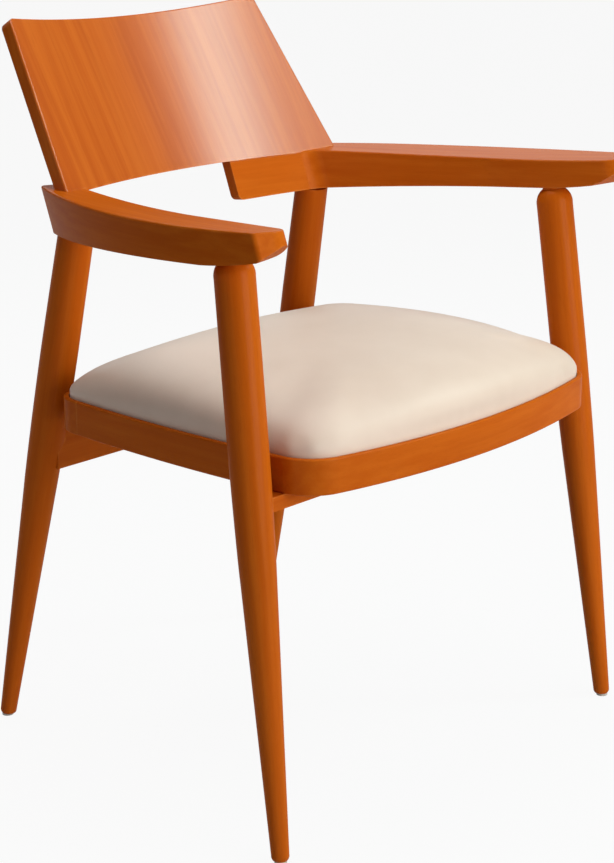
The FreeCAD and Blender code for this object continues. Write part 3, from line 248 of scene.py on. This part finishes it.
STAIN_DARK = (0.43, 0.072, 0.002, 1)
STAIN_MID = (0.53, 0.102, 0.004, 1)
STAIN_LIGHT = (0.61, 0.145, 0.010, 1)
# Paler colour mixed onto rounded edges: a painted highlight
EDGE_HIGHLIGHT_PAINT = (0.72, 0.260, 0.060, 1)
BEECH_DARK = (0.50, 0.310, 0.150, 1)
BEECH_MID = (0.62, 0.420, 0.230, 1)
BEECH_LIGHT = (0.70, 0.500, 0.300, 1)
STAINED_GRAIN = {"Dark": STAIN_DARK, "Mid": STAIN_MID, "Light": STAIN_LIGHT, "Pores": 0.35, "Gloss": 0.34}
BEECH_GRAIN = {"Dark": BEECH_DARK, "Mid": BEECH_MID, "Light": BEECH_LIGHT,
               "Figure": 0.6, "Pores": 0.5, "Gloss": 0.6}
STAINED_BUMP = 0.12
BEECH_BUMP = 0.3
GRAIN_DEPTH = 0.0004
# Width and strength of the painted edge highlight
EDGE_HIGHLIGHT_WIDTH = 0.0035
EDGE_HIGHLIGHT_SHARE = 0.55
LACQUER_SPECULAR = 0.01
LACQUER_ROUGHNESS = 0.2


def new_material(name):
    """Empty node material: the material, its tree and its Principled shader."""
    made = bpy.data.materials.new(name)
    made.use_nodes = True
    tree = made.node_tree
    tree.nodes.clear()
    shader = add(tree, "BsdfPrincipled")
    out = add(tree, "OutputMaterial")
    wire(tree, shader.outputs["BSDF"], out.inputs["Surface"])
    return made, tree, shader


def turned_coordinates(tree, along, offset=(0, 0, 0)):
    """Object coordinates turned so that the direction along becomes the pattern's Z."""
    coordinates = add(tree, "TexCoord")
    turn = Vector(along).normalized().rotation_difference(Vector((0, 0, 1))).to_euler()
    mapping = add(tree, "Mapping", None, {"Location": offset, "Rotation": turn})
    wire(tree, coordinates.outputs["Object"], mapping.inputs["Vector"])
    return mapping.outputs["Vector"]


def rough_bump(tree, shader, height, strength, distance):
    """Bump from a height socket into the shader's normal."""
    bump = add(tree, "Bump", None, {"Strength": strength, "Distance": distance})
    wire(tree, height, bump.inputs["Height"])
    wire(tree, bump.outputs["Normal"], shader.inputs["Normal"])


def grain_after_joint(tree, vector, along, offset, joint_x):
    """Grain coordinates that follow another direction on the inner side of a joint across X."""
    inner = turned_coordinates(tree, along, offset)
    coordinates = add(tree, "TexCoord")
    place = add(tree, "SeparateXYZ")
    wire(tree, coordinates.outputs["Object"], place.inputs["Vector"])
    pick = add(tree, "Mix", {"data_type": "VECTOR"})
    wire(tree, math_node(tree, "LESS_THAN", place.outputs["X"], joint_x), pick.inputs[0])
    wire(tree, vector, pick.inputs[VECTOR_FIRST])
    wire(tree, inner, pick.inputs[VECTOR_SECOND])
    return pick.outputs[VECTOR_OUT]


def rubbed_coat(tree, flank, full, rise):
    """Share of coat that use has rubbed up: little on upright faces, full on faces that look up."""
    facing = add(tree, "SeparateXYZ")
    wire(tree, add(tree, "NewGeometry").outputs["Normal"], facing.inputs[0])
    share = add(tree, "MapRange", None, {
        "From Min": rise[0], "From Max": rise[1], "To Min": flank, "To Max": full})
    wire(tree, facing.outputs["Z"], share.inputs["Value"])
    return share.outputs["Result"]


def lacquered_wood(name, along, offset, figure, polish, rubbed=None, joint=None):
    """Stained wood under satin lacquer, with the grain along a direction and a painted highlight on its
    rounded edges.
    """
    made, tree, shader = new_material(name)
    vector = turned_coordinates(tree, along, offset)
    if joint is not None:
        vector = grain_after_joint(tree, vector, joint["along"], offset, joint["x"])
    grain = place_group(tree, WOOD_GRAIN, {**STAINED_GRAIN, "Figure": figure})
    wire(tree, vector, grain.inputs["Vector"])
    edge_light = place_group(tree, EDGE_HIGHLIGHT_GROUP, {"Width": EDGE_HIGHLIGHT_WIDTH})
    wire(tree, vector, edge_light.inputs["Vector"])
    # Painted highlight: a paler colour mixed onto the rounded edges
    edge_lit = add(tree, "Mix", {"data_type": "RGBA"})
    wire(tree, math_node(tree, "MULTIPLY", edge_light.outputs["Mask"], EDGE_HIGHLIGHT_SHARE, True), edge_lit.inputs[0])
    wire(tree, grain.outputs["Color"], edge_lit.inputs[COLOUR_FIRST])
    edge_lit.inputs[COLOUR_SECOND].default_value = EDGE_HIGHLIGHT_PAINT
    wire(tree, edge_lit.outputs[COLOUR_OUT], shader.inputs["Base Color"])
    wire(tree, grain.outputs["Roughness"], shader.inputs["Roughness"])
    rough_bump(tree, shader, grain.outputs["Height"], STAINED_BUMP, GRAIN_DEPTH)
    shader.inputs["Specular IOR Level"].default_value = LACQUER_SPECULAR
    if rubbed is None:
        shader.inputs["Coat Weight"].default_value = polish
    else:
        coat = rubbed_coat(tree, rubbed["flank"], polish, rubbed["rise"])
        wire(tree, coat, shader.inputs["Coat Weight"])
    shader.inputs["Coat Roughness"].default_value = LACQUER_ROUGHNESS
    return made


def plain_wood(name, along):
    """Unfinished pale wood of the pieces that don't show."""
    made, tree, shader = new_material(name)
    vector = turned_coordinates(tree, along)
    grain = place_group(tree, WOOD_GRAIN, BEECH_GRAIN)
    wire(tree, vector, grain.inputs["Vector"])
    wire(tree, grain.outputs["Color"], shader.inputs["Base Color"])
    wire(tree, grain.outputs["Roughness"], shader.inputs["Roughness"])
    rough_bump(tree, shader, grain.outputs["Height"], BEECH_BUMP, GRAIN_DEPTH)
    return made


def two_tone(name, first, second, scale, rough_low, rough_high):
    """Material whose colour and roughness drift between two tones; also its tree, shader and coordinates."""
    made, tree, shader = new_material(name)
    coordinates = add(tree, "TexCoord")
    mottle = place_group(tree, SOFT_MOTTLE, {"Scale": scale})
    wire(tree, coordinates.outputs["Object"], mottle.inputs["Vector"])
    mixed = add(tree, "Mix", {"data_type": "RGBA"})
    wire(tree, mottle.outputs["Value"], mixed.inputs[0])
    mixed.inputs[COLOUR_FIRST].default_value = first
    mixed.inputs[COLOUR_SECOND].default_value = second
    wire(tree, mixed.outputs[COLOUR_OUT], shader.inputs["Base Color"])
    rough = add(tree, "MapRange", None, {"To Min": rough_low, "To Max": rough_high})
    wire(tree, mottle.outputs["Value"], rough.inputs["Value"])
    wire(tree, rough.outputs["Result"], shader.inputs["Roughness"])
    return made, tree, shader, coordinates.outputs["Object"]


HIDE_TONES = ((0.72, 0.563, 0.461, 1), (0.77, 0.616, 0.514, 1))
HIDE_PATCHES = 9
HIDE_ROUGHNESS = (0.42, 0.52)
HIDE_CELLS = 900
HIDE_CELL_RANGE = (0.0, 0.25)
HIDE_PORES = 2600
HIDE_PORE_SHARE = 0.25
HIDE_BUMP = 0.18
HIDE_DEPTH = 0.0003
HIDE_SHEEN = 0.15
HIDE_SHEEN_ROUGHNESS = 0.5


def seat_hide(name):
    """Smooth cream hide: slow tone patches, a fine pebble of wrinkled cells and pin-sized hair pores."""
    made, tree, shader, vector = two_tone(name, *HIDE_TONES, HIDE_PATCHES, *HIDE_ROUGHNESS)
    cells = add(tree, "TexVoronoi", {"feature": "DISTANCE_TO_EDGE"}, {"Scale": HIDE_CELLS})
    wire(tree, vector, cells.inputs["Vector"])
    pebble = spread(tree, cells.outputs["Distance"], *HIDE_CELL_RANGE)
    fine = add(tree, "TexNoise", None, {"Scale": HIDE_PORES, "Detail": 2})
    wire(tree, vector, fine.inputs["Vector"])
    height = math_node(tree, "MULTIPLY_ADD", fine.outputs["Fac"], HIDE_PORE_SHARE)
    wire(tree, pebble, height.node.inputs[2])
    rough_bump(tree, shader, height, HIDE_BUMP, HIDE_DEPTH)
    shader.inputs["Sheen Weight"].default_value = HIDE_SHEEN
    shader.inputs["Sheen Roughness"].default_value = HIDE_SHEEN_ROUGHNESS
    return made


FELT_TONES = ((0.030, 0.028, 0.026, 1), (0.055, 0.052, 0.048, 1))
FELT_PATCHES = 60
FELT_ROUGHNESS = (0.8, 0.95)
FELT_ACROSS = {"stretch": (1800, 300, 600), "detail": 2, "roughness": 0.6}
FELT_ALONG = {"stretch": (300, 1800, 600), "detail": 2, "roughness": 0.6}
FELT_BUMP = 0.5
FELT_DEPTH = 0.0004
FELT_SHEEN = 0.3


def felted_cloth(name):
    """Dark bonded dust cloth: short crossed fibres that leave a fine, uneven nap."""
    made, tree, shader, vector = two_tone(name, *FELT_TONES, FELT_PATCHES, *FELT_ROUGHNESS)
    across = stretched_noise(tree, vector, **FELT_ACROSS)
    along = stretched_noise(tree, vector, **FELT_ALONG)
    rough_bump(tree, shader, math_node(tree, "ADD", across, along), FELT_BUMP, FELT_DEPTH)
    shader.inputs["Sheen Weight"].default_value = FELT_SHEEN
    return made


PLASTIC_TONES = ((0.62, 0.600, 0.560, 1), (0.50, 0.480, 0.440, 1))
PLASTIC_PATCHES = 220
PLASTIC_ROUGHNESS = (0.35, 0.6)
PLASTIC_SCUFFS = {"stretch": (500, 900, 300), "detail": 2, "roughness": 0.6}
PLASTIC_BUMP = 0.2
PLASTIC_DEPTH = 0.0002


def moulded_plastic(name):
    """Pale moulded glide plastic with scuffs from the floor."""
    made, tree, shader, vector = two_tone(name, *PLASTIC_TONES, PLASTIC_PATCHES, *PLASTIC_ROUGHNESS)
    scuffs = stretched_noise(tree, vector, **PLASTIC_SCUFFS)
    rough_bump(tree, shader, scuffs, PLASTIC_BUMP, PLASTIC_DEPTH)
    return made


ZINC_TONES = ((0.62, 0.630, 0.640, 1), (0.50, 0.505, 0.510, 1))
ZINC_PATCHES = 380
ZINC_ROUGHNESS = (0.28, 0.45)
ZINC_BRUSH = {"stretch": (2400, 2400, 300), "detail": 1, "roughness": 0.5}
ZINC_BUMP = 0.15
ZINC_DEPTH = 0.0001


def zinc_steel(name):
    """Zinc-plated steel with a faint spangle and dull patches."""
    made, tree, shader, vector = two_tone(name, *ZINC_TONES, ZINC_PATCHES, *ZINC_ROUGHNESS)
    brushed = stretched_noise(tree, vector, **ZINC_BRUSH)
    rough_bump(tree, shader, brushed, ZINC_BUMP, ZINC_DEPTH)
    shader.inputs["Metallic"].default_value = 1
    return made


def leg_grain(foot, top, side):
    """Direction up a leg, from its foot to its top, on one side of the chair."""
    rise = Vector(top) - Vector(foot)
    return (side * rise.x, rise.y, rise.z)


# Foot and top of the legs on the sitter's left
FRONT_LEG = ((0.2853, -0.2372, 0), (0.2637, -0.1596, 0.601))
REAR_LEG = ((0.2181, 0.2491, 0), (0.1906, 0.1392, 0.572))
RECLINE = math.radians(30.6)
UP_THE_PANEL = (0, math.sin(RECLINE), math.cos(RECLINE))
GRAINS = {
    "front_leg_left": leg_grain(*FRONT_LEG, 1),
    "front_leg_right": leg_grain(*FRONT_LEG, -1),
    "rear_leg_left": leg_grain(*REAR_LEG, 1),
    "rear_leg_right": leg_grain(*REAR_LEG, -1),
    "armrest_left": (0.25, -1, 0.03),
    "armrest_right": (-0.25, -1, 0.03),
    "back_panel": UP_THE_PANEL,
    "seat_rim_front": (1, 0, 0),
    "seat_rim_rear": (1, 0, 0),
    "seat_rim_left": (0, 1, 0),
    "seat_rim_right": (0, 1, 0),
    "front_cross_rail": (1, 0, 0),
    "rear_cross_rail": (1, 0, 0),
}
HIDDEN_WOOD = {
    "seat_board": (1, 0, 0), "corner_blocks": (1, 0, 0),
    "back_dowels": (0, 0, 1), "seat_rim_dowels": (0, 1, 0), "rail_dowels": (0, 0, 1),
}


def dress(name, material):
    """Put one material on a node of the solid model, in place of the plain one."""
    slots = nodes[name].data.materials
    slots.clear()
    slots.append(material)


RETURN_JOINT = {"armrest_left": {"along": (1, -0.17, 0), "x": 0.168}}
ARM_RISE = (0.5, 0.95)
PANEL_RISE = (0.1, 0.3)
HAND_POLISHED = {
    "back_panel": {"figure": 0.55, "polish": 0.9, "rubbed": {"flank": 0.1, "rise": PANEL_RISE}},
    "armrest_left": {"figure": 0.5, "polish": 0.2, "rubbed": {"flank": 0.1, "rise": ARM_RISE}},
    "armrest_right": {"figure": 0.5, "polish": 0.2, "rubbed": {"flank": 0.03, "rise": ARM_RISE}},
}
PLAIN_FINISH = {"figure": 0.5, "polish": 0.07}
GRAIN_STEP = (0.13, 0.07, 0.31)

for number, (name, along) in enumerate(GRAINS.items()):
    offset = tuple(step * number for step in GRAIN_STEP)
    finish = HAND_POLISHED.get(name, PLAIN_FINISH)
    dress(name, lacquered_wood(name + "_wood", along, offset, finish["figure"], finish["polish"],
                               finish.get("rubbed"), RETURN_JOINT.get(name)))
for name, along in HIDDEN_WOOD.items():
    dress(name, plain_wood(name + "_wood", along))
dress("foot_glides", moulded_plastic("glide_plastic"))
ZINC = zinc_steel("zinc_steel")
dress("dust_staples", ZINC)
dress("seat_screws", ZINC)


# Seat cushion

SEAT_MID = np.array((0, -0.060))
RIM_FRONT_Y = cad_low.y
RIM_FRONT_RADIUS = 0.880
RIM_SIDE = (0.2435, -0.100)
RIM_SIDE_RADIUS = 1.900
RIM_CORNER_RADIUS = 0.046
RIM_REAR_RADIUS = 0.036
RIM_REAR_Y = 0.143
BOW_COUNT = 80
CORNER_COUNT = 40
FLANK_COUNT = 120
REAR_COUNT = 60


def arc_points(centre, start, end, count):
    """Points on an arc: the angle goes evenly from the start's to the end's, the short way round."""
    first = math.atan2(start[1] - centre[1], start[0] - centre[0])
    swing = math.atan2(end[1] - centre[1], end[0] - centre[0]) - first
    swing = (swing + math.pi) % (2 * math.pi) - math.pi
    angles = first + swing * np.linspace(0, 1, count)
    radius = math.hypot(start[0] - centre[0], start[1] - centre[1])
    return np.stack([centre[0] + radius * np.cos(angles), centre[1] + radius * np.sin(angles)], -1)


def rim_outline():
    """Outer outline of the seat rim: bowed front, round corners, slightly bowed sides, straight rear.

    A corner's centre lies a corner radius inside both arcs that it joins, so it is found where two
    circles cross, and the tangent points lie on the lines through the centres.
    """
    bow = np.array((0, RIM_FRONT_Y + RIM_FRONT_RADIUS))
    flank = np.array((RIM_SIDE[0] - RIM_SIDE_RADIUS, RIM_SIDE[1]))
    bow_reach = RIM_FRONT_RADIUS - RIM_CORNER_RADIUS
    flank_reach = RIM_SIDE_RADIUS - RIM_CORNER_RADIUS
    gap = np.linalg.norm(flank - bow)
    along = (bow_reach ** 2 - flank_reach ** 2 + gap ** 2) / (2 * gap)
    across = math.sqrt(bow_reach ** 2 - along ** 2)
    way = (flank - bow) / gap
    corner = bow + along * way + across * np.array((-way[1], way[0]))
    front_end = bow + (corner - bow) * RIM_FRONT_RADIUS / bow_reach
    side_front = flank + (corner - flank) * RIM_SIDE_RADIUS / flank_reach
    heel_y = RIM_REAR_Y - RIM_REAR_RADIUS
    rear_reach = RIM_SIDE_RADIUS - RIM_REAR_RADIUS
    heel = np.array((flank[0] + math.sqrt(rear_reach ** 2 - (heel_y - flank[1]) ** 2), heel_y))
    side_rear = flank + (heel - flank) * RIM_SIDE_RADIUS / rear_reach
    rear_end = np.array((heel[0], RIM_REAR_Y))
    half = np.vstack([
        arc_points(bow, (0, RIM_FRONT_Y), front_end, BOW_COUNT),
        arc_points(corner, front_end, side_front, CORNER_COUNT)[1:],
        arc_points(flank, side_front, side_rear, FLANK_COUNT)[1:],
        arc_points(heel, side_rear, rear_end, CORNER_COUNT)[1:],
        np.linspace(rear_end, (0, RIM_REAR_Y), REAR_COUNT)[1:]])
    return np.vstack([half, half[-2:0:-1] * (-1, 1)])


OUTLINE = rim_outline() - SEAT_MID
OUTLINE_ANGLES = np.arctan2(OUTLINE[:, 1], OUTLINE[:, 0])
OUTLINE_ORDER = np.argsort(OUTLINE_ANGLES)
OUTLINE_REACH = np.hypot(OUTLINE[:, 0], OUTLINE[:, 1])


def outline_reach(angle):
    """Distance from the middle of the seat to the rim's outline at an angle."""
    return np.interp(angle, OUTLINE_ANGLES[OUTLINE_ORDER], OUTLINE_REACH[OUTLINE_ORDER], period=2 * math.pi)


def oval_reach(angle):
    """Distance to a plain oval as wide as the rim, as deep in front and as deep behind as the rim is."""
    depth = np.where(np.sin(angle) < 0, SEAT_MID[1] - RIM_FRONT_Y, RIM_REAR_Y - SEAT_MID[1])
    return 1 / np.sqrt((np.cos(angle) / RIM_SIDE[0]) ** 2 + (np.sin(angle) / depth) ** 2)


COVER_SCALE = 0.978
WAIST_Z = 0.414
CROWN_TOP = 0.4705
CROWN_POWER = 2.6
CROWN_ROUND = 0.41
CROWN_DOME = 0.65
CROWN_FORWARD = 0.018
BOARD_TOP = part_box("seat_board")[1].z
REBATE_FLOOR = 0.397
COVER_WALL = 0.0062
WALL_TOP_Z = 0.4085
WALL_MID_Z = 0.403
WALL_MID_TUCK = 0.001
WALL_FOOT_TUCK = 0.003
FOOT_GAP = 0.0006
BED_GAP = 0.0004
FOOT_Z = REBATE_FLOOR + FOOT_GAP
BED_Z = BOARD_TOP + BED_GAP
MERGE_REACH = 1e-5
GRID_COUNT = 72
SIDE_ROWS = 12
SWELL = 0.003
TOP_SHARE = 0.72


def crown_surface(share, angle, swell):
    """Point of the cushion's crown at a share of the way out from its middle, at an angle.

    Height falls from the top as (1 - share ^ (1 / round)) ^ (1 / power), a soft dome with steep sides.
    The higher the point, the more the outline goes from the rim's to a plain oval, and the further
    forward its middle lies. swell is taken off the top and the sides before the cushion is blown up.
    """
    level = (1 - np.clip(share, 0, 1) ** (1 / CROWN_ROUND)) ** (1 / CROWN_POWER)
    dome = CROWN_DOME * level
    reach = (outline_reach(angle) * (1 - dome) + oval_reach(angle) * dome) * COVER_SCALE - swell * level
    x = share * reach * np.cos(angle)
    y = SEAT_MID[1] - CROWN_FORWARD * level + share * reach * np.sin(angle)
    z = WAIST_Z + (CROWN_TOP - swell - WAIST_Z) * level
    return np.stack([x, y, z], -1)


def square_to_disc(count):
    """Grid of a square laid onto a disc, ring by ring: how far out each point lies and its angle."""
    s, t = np.meshgrid(np.linspace(-1, 1, count), np.linspace(-1, 1, count), indexing="ij")
    wide = np.abs(s) >= np.abs(t)
    ring = np.where(wide, s, t)
    safe = np.where(ring == 0, 1, ring)
    angle = np.where(wide, math.pi / 4 * t / safe, math.pi / 2 - math.pi / 4 * s / safe)
    angle = np.where(ring < 0, angle + math.pi, angle)
    return np.abs(ring), angle


def grid_faces(rows, columns, closed=False):
    """Quads of a grid of rows by columns, joined round to the first column if it is closed."""
    index = np.arange(rows * columns).reshape(rows, columns)
    after = np.roll(index, -1, 1) if closed else index[:, 1:]
    here = index if closed else index[:, :-1]
    return np.stack([here[:-1], after[:-1], after[1:], here[1:]], -1).reshape(-1, 4)


def joined_mesh(name, patches):
    """Mesh of several grids given as points and faces, with the points on shared edges merged."""
    points, faces, base = [], [], 0
    for spots, quads in patches:
        points.append(spots.reshape(-1, 3))
        faces.append(quads + base)
        base += len(points[-1])
    mesh = bpy.data.meshes.new(name)
    mesh.from_pydata(np.vstack(points), [], np.vstack(faces).tolist())
    work = bmesh.new()
    work.from_mesh(mesh)
    bmesh.ops.remove_doubles(work, verts=work.verts, dist=MERGE_REACH)
    bmesh.ops.recalc_face_normals(work, faces=work.faces)
    work.to_mesh(mesh)
    work.free()
    mesh.polygons.foreach_set("use_smooth", np.ones(len(mesh.polygons), bool))
    return mesh


def cushion_form(name, swell):
    """Closed cushion: crown, side wall tucked into the rim, rim of the underside and its bed on the board.

    The crown's middle and the bed are square grids laid onto discs, so neither has a pole. Between them
    rings run down the crown's flank, the wall and the inner wall, at the angles of the square's edge.
    """
    far, angle = square_to_disc(GRID_COUNT)
    crown = crown_surface(far * TOP_SHARE, angle, swell)
    edge = np.concatenate([angle[0, :-1], angle[:-1, -1], angle[-1, :0:-1], angle[:0:-1, 0]])
    start = math.asin(TOP_SHARE ** (1 / (2 * CROWN_ROUND)))
    sweep = np.linspace(start, math.pi / 2, SIDE_ROWS)
    rings = [crown_surface(np.full(edge.shape, math.sin(part) ** (2 * CROWN_ROUND)), edge, swell)
             for part in sweep]
    inner = COVER_SCALE - COVER_WALL
    wall_steps = (
        (COVER_SCALE, WALL_TOP_Z),
        (COVER_SCALE - WALL_MID_TUCK, WALL_MID_Z),
        (COVER_SCALE - WALL_FOOT_TUCK, FOOT_Z),
        (inner, FOOT_Z),
        (inner, BED_Z))
    for scale, z in wall_steps:
        reach = outline_reach(edge) * scale
        rings.append(np.stack([reach * np.cos(edge), SEAT_MID[1] + reach * np.sin(edge),
                               np.full(edge.shape, z)], -1))
    rings = np.stack(rings)
    bed_reach = far * outline_reach(angle) * inner
    bed = np.stack([bed_reach * np.cos(angle), SEAT_MID[1] + bed_reach * np.sin(angle),
                    np.full(angle.shape, BED_Z)], -1)
    quads = grid_faces(GRID_COUNT, GRID_COUNT)
    sides = grid_faces(len(rings), len(edge), True)
    return joined_mesh(name, [(crown, quads), (rings, sides), (bed, quads)])


def read_points(mesh):
    """All points of a mesh as an array."""
    flat = np.empty(len(mesh.vertices) * 3, np.float32)
    mesh.vertices.foreach_get("co", flat)
    return flat.reshape(-1, 3).astype(float)


def write_points(mesh, points):
    """Put an array of points back into a mesh."""
    mesh.vertices.foreach_set("co", points.astype(np.float32).ravel())
    mesh.update()


def new_piece(name, mesh):
    """Object at the origin that shows a mesh."""
    piece = bpy.data.objects.new(name, mesh)
    scene.collection.objects.link(piece)
    return piece


BLOW_FRAMES = 20
BLOW_CAP = 0.0045
BLOW_LEAST = 1e-9
SETTLE_ROUNDS = 30
COVER_CLOTH = {
    "quality": 6,
    "mass": 0.3,
    "tension_stiffness": 20,
    "compression_stiffness": 20,
    "shear_stiffness": 8,
    "bending_stiffness": 8,
    "use_pressure": True,
    "uniform_pressure_force": 4,
}


def settled(mesh, values):
    """Values at the points of a mesh, each averaged with its neighbours over and over."""
    ends = np.empty(len(mesh.edges) * 2, np.int32)
    mesh.edges.foreach_get("vertices", ends)
    ends = ends.reshape(-1, 2)
    count = np.bincount(ends.ravel(), minlength=len(values))[:, None]
    for _ in range(SETTLE_ROUNDS):
        total = np.zeros(values.shape)
        np.add.at(total, ends[:, 0], values[ends[:, 1]])
        np.add.at(total, ends[:, 1], values[ends[:, 0]])
        values = (values + total / count) / 2
    return values


def blow_up(piece):
    """Cloth under pressure, held below the waist; no point moves further than the cap."""
    start = read_points(piece.data)
    held = piece.vertex_groups.new(name="held")
    held.add(np.flatnonzero(start[:, 2] < WAIST_Z).tolist(), 1, "REPLACE")
    cloth = piece.modifiers.new("blow", "CLOTH")
    for setting, value in COVER_CLOTH.items():
        setattr(cloth.settings, setting, value)
    cloth.settings.effector_weights.gravity = 0
    cloth.settings.vertex_group_mass = "held"
    cloth.collision_settings.use_collision = False
    cloth.point_cache.frame_start = 1
    cloth.point_cache.frame_end = BLOW_FRAMES
    for step in range(1, BLOW_FRAMES + 1):
        scene.frame_set(step)
    shown = piece.evaluated_get(bpy.context.evaluated_depsgraph_get())
    moved = read_points(shown.data) - start
    piece.modifiers.remove(cloth)
    scene.frame_set(1)
    far = np.linalg.norm(moved, axis=1, keepdims=True)
    moved = settled(piece.data, moved * np.minimum(1, BLOW_CAP / np.maximum(far, BLOW_LEAST)))
    moved[start[:, 2] < WAIST_Z] = 0
    write_points(piece.data, start + moved)


PUCKER_COUNT = 58
PUCKER_DEPTH = 0.0008
PUCKER_REACH = 0.009
PUCKER_EVERYWHERE = 0.25
PUCKER_WANDER = 2.5
PUCKER_WANDER_COUNT = 7
PUCKER_CLEAR = 0.001
CORNER_SPREAD = 0.25
CORNER_ANGLE = math.atan2(RIM_FRONT_Y + RIM_CORNER_RADIUS - SEAT_MID[1],
                          RIM_SIDE[0] - RIM_CORNER_RADIUS / 2)


def puckered(points):
    """Small folds where the cover is drawn into the rim, deepest at the two front corners.

    A wave round the seat, bent by a slower one, fades as a bell curve with the height from the waist.
    """
    angle = np.arctan2(points[:, 1] - SEAT_MID[1], points[:, 0])
    away = np.minimum(np.abs(angle - CORNER_ANGLE), np.abs(angle + math.pi + CORNER_ANGLE))
    corner = PUCKER_EVERYWHERE + np.exp(-(away / CORNER_SPREAD) ** 2)
    z = points[:, 2]
    low = np.exp(-((z - WAIST_Z) / PUCKER_REACH) ** 2) * (z > BOARD_TOP + PUCKER_CLEAR)
    wander = PUCKER_WANDER * np.sin(PUCKER_WANDER_COUNT * angle)
    fold = PUCKER_DEPTH * corner * low * np.sin(PUCKER_COUNT * angle + wander)
    out = np.stack([np.cos(angle), np.sin(angle), np.zeros(len(angle))], -1)
    return points + fold[:, None] * out


cushion = new_piece("seat_cushion", cushion_form("seat_cushion", SWELL))
blow_up(cushion)
write_points(cushion.data, puckered(read_points(cushion.data)))
smooth = cushion.modifiers.new("smooth", "SUBSURF")
smooth.levels = smooth.render_levels = 1
cushion.data.materials.append(seat_hide("seat_hide"))
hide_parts("seat_cover", "seat_foam")
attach(cushion, "root")


# Dust cloth under the seat

dust_low, dust_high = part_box("dust_cover")
DUST_COUNT = 41
DUST_SAG = 0.0012
DUST_THICK = 0.0006
DUST_GAP = 0.0001


def dust_sheet(name):
    """Cloth stretched under the board: flat along its stapled edges, sagging between them.

    s and t run from -1 to 1 across it, and the sag is a depth times (1 - s ^ 2) times (1 - t ^ 2).
    """
    s, t = np.meshgrid(np.linspace(-1, 1, DUST_COUNT), np.linspace(-1, 1, DUST_COUNT), indexing="ij")
    x = (dust_low.x + dust_high.x) / 2 + (dust_high.x - dust_low.x) / 2 * s
    y = (dust_low.y + dust_high.y) / 2 + (dust_high.y - dust_low.y) / 2 * t
    z = dust_high.z - DUST_GAP - DUST_SAG * (1 - s ** 2) * (1 - t ** 2)
    mesh = bpy.data.meshes.new(name)
    faces = grid_faces(DUST_COUNT, DUST_COUNT)[:, ::-1]
    mesh.from_pydata(np.stack([x, y, z], -1).reshape(-1, 3), [], faces.tolist())
    mesh.polygons.foreach_set("use_smooth", np.ones(len(mesh.polygons), bool))
    return mesh


dust = new_piece("dust_cloth", dust_sheet("dust_cloth"))
thick = dust.modifiers.new("thickness", "SOLIDIFY")
thick.thickness = DUST_THICK
thick.offset = -1
dust.data.materials.append(felted_cloth("dust_cloth"))
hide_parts("dust_cover")
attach(dust, "root")


# Studio: pale floor, dim surround and soft lamps

FLOOR_HALF = 60.0
FLOOR_Z = -0.0005
FLOOR_WHITE = 0.93
FLOOR_PAINT = (0.55, 0.55, 0.55, 1)
FLOOR_ROUGHNESS = 0.8
SURROUND_LEVEL = 0.13


def pale_floor():
    """Large flat square just under the feet: painted for lamps, near white in view and in reflections."""
    s, t = np.meshgrid((-1.0, 1.0), (-1.0, 1.0), indexing="ij")
    spots = np.stack([s * FLOOR_HALF, t * FLOOR_HALF, np.full(s.shape, FLOOR_Z)], -1).reshape(-1, 3)
    mesh = bpy.data.meshes.new("floor")
    mesh.from_pydata(spots, [], [(0, 2, 3, 1)])
    floor = new_piece("floor", mesh)
    made, tree, shader = new_material("floor_paint")
    shader.inputs["Base Color"].default_value = FLOOR_PAINT
    shader.inputs["Roughness"].default_value = FLOOR_ROUGHNESS
    glow = add(tree, "Emission", None, {"Color": (1, 1, 1, 1), "Strength": 1})
    rays = add(tree, "LightPath")
    seen = math_node(tree, "MAXIMUM", rays.outputs["Is Camera Ray"], rays.outputs["Is Glossy Ray"])
    seen = math_node(tree, "MAXIMUM", seen, rays.outputs["Is Transmission Ray"])
    blend = add(tree, "MixShader")
    wire(tree, math_node(tree, "MULTIPLY", seen, FLOOR_WHITE), blend.inputs[0])
    wire(tree, shader.outputs["BSDF"], blend.inputs[1])
    wire(tree, glow.outputs["Emission"], blend.inputs[2])
    wire(tree, blend.outputs["Shader"], tree.nodes["Material Output"].inputs["Surface"])
    mesh.materials.append(made)


def dim_surround():
    """Even grey light from all round; the floor fills the picture's background."""
    world = bpy.data.worlds.new("surround")
    scene.world = world
    world.use_nodes = True
    back = world.node_tree.nodes["Background"]
    back.inputs["Color"].default_value = (1, 1, 1, 1)
    back.inputs["Strength"].default_value = SURROUND_LEVEL


def soft_lamp(name, place, aim, width, height, watts, colour):
    """Soft lamp with a wide and a tall side that looks from its place to the point it is aimed at."""
    data = bpy.data.lights.new(name, "AREA")
    data.shape = "RECTANGLE"
    data.size = width
    data.size_y = height
    data.energy = watts
    data.color = colour
    lamp = bpy.data.objects.new(name, data)
    lamp.location = place
    lamp.rotation_euler = (Vector(aim) - Vector(place)).to_track_quat("-Z", "Y").to_euler()
    scene.collection.objects.link(lamp)


SEAT_CENTRE = (0, 0, 0.45)
PANEL_CENTRE = (0.08, 0.21, 0.71)
# Name, place, aim, width, height, watts and colour of each lamp
LAMPS = (
    ("key_strip", (1.48, -1.25, 2.35), PANEL_CENTRE, 0.4, 1.5, 23, (0.70, 1, 0.97)),
    ("key_wide", (1.02, -1.51, 2.40), PANEL_CENTRE, 0.7, 1.3, 8, (0.90, 1, 0.90)),
    ("front_fill", (0.2, -3.0, 1.0), SEAT_CENTRE, 2.0, 2.0, 60, (1, 0.96, 0.92)),
    ("overhead", (-0.1, 0.3, 2.3), SEAT_CENTRE, 1.2, 1.4, 18.5, (1, 1, 1)),
    ("near_fill", (-2.4, -0.2, 1.25), SEAT_CENTRE, 1.6, 1.0, 3, (1, 1, 1)),
    ("rear_panel", (1.6, 1.5, 1.45), SEAT_CENTRE, 2.5, 1.0, 11, (1, 1, 1)),
)

pale_floor()
dim_surround()
for lamp_values in LAMPS:
    soft_lamp(*lamp_values)
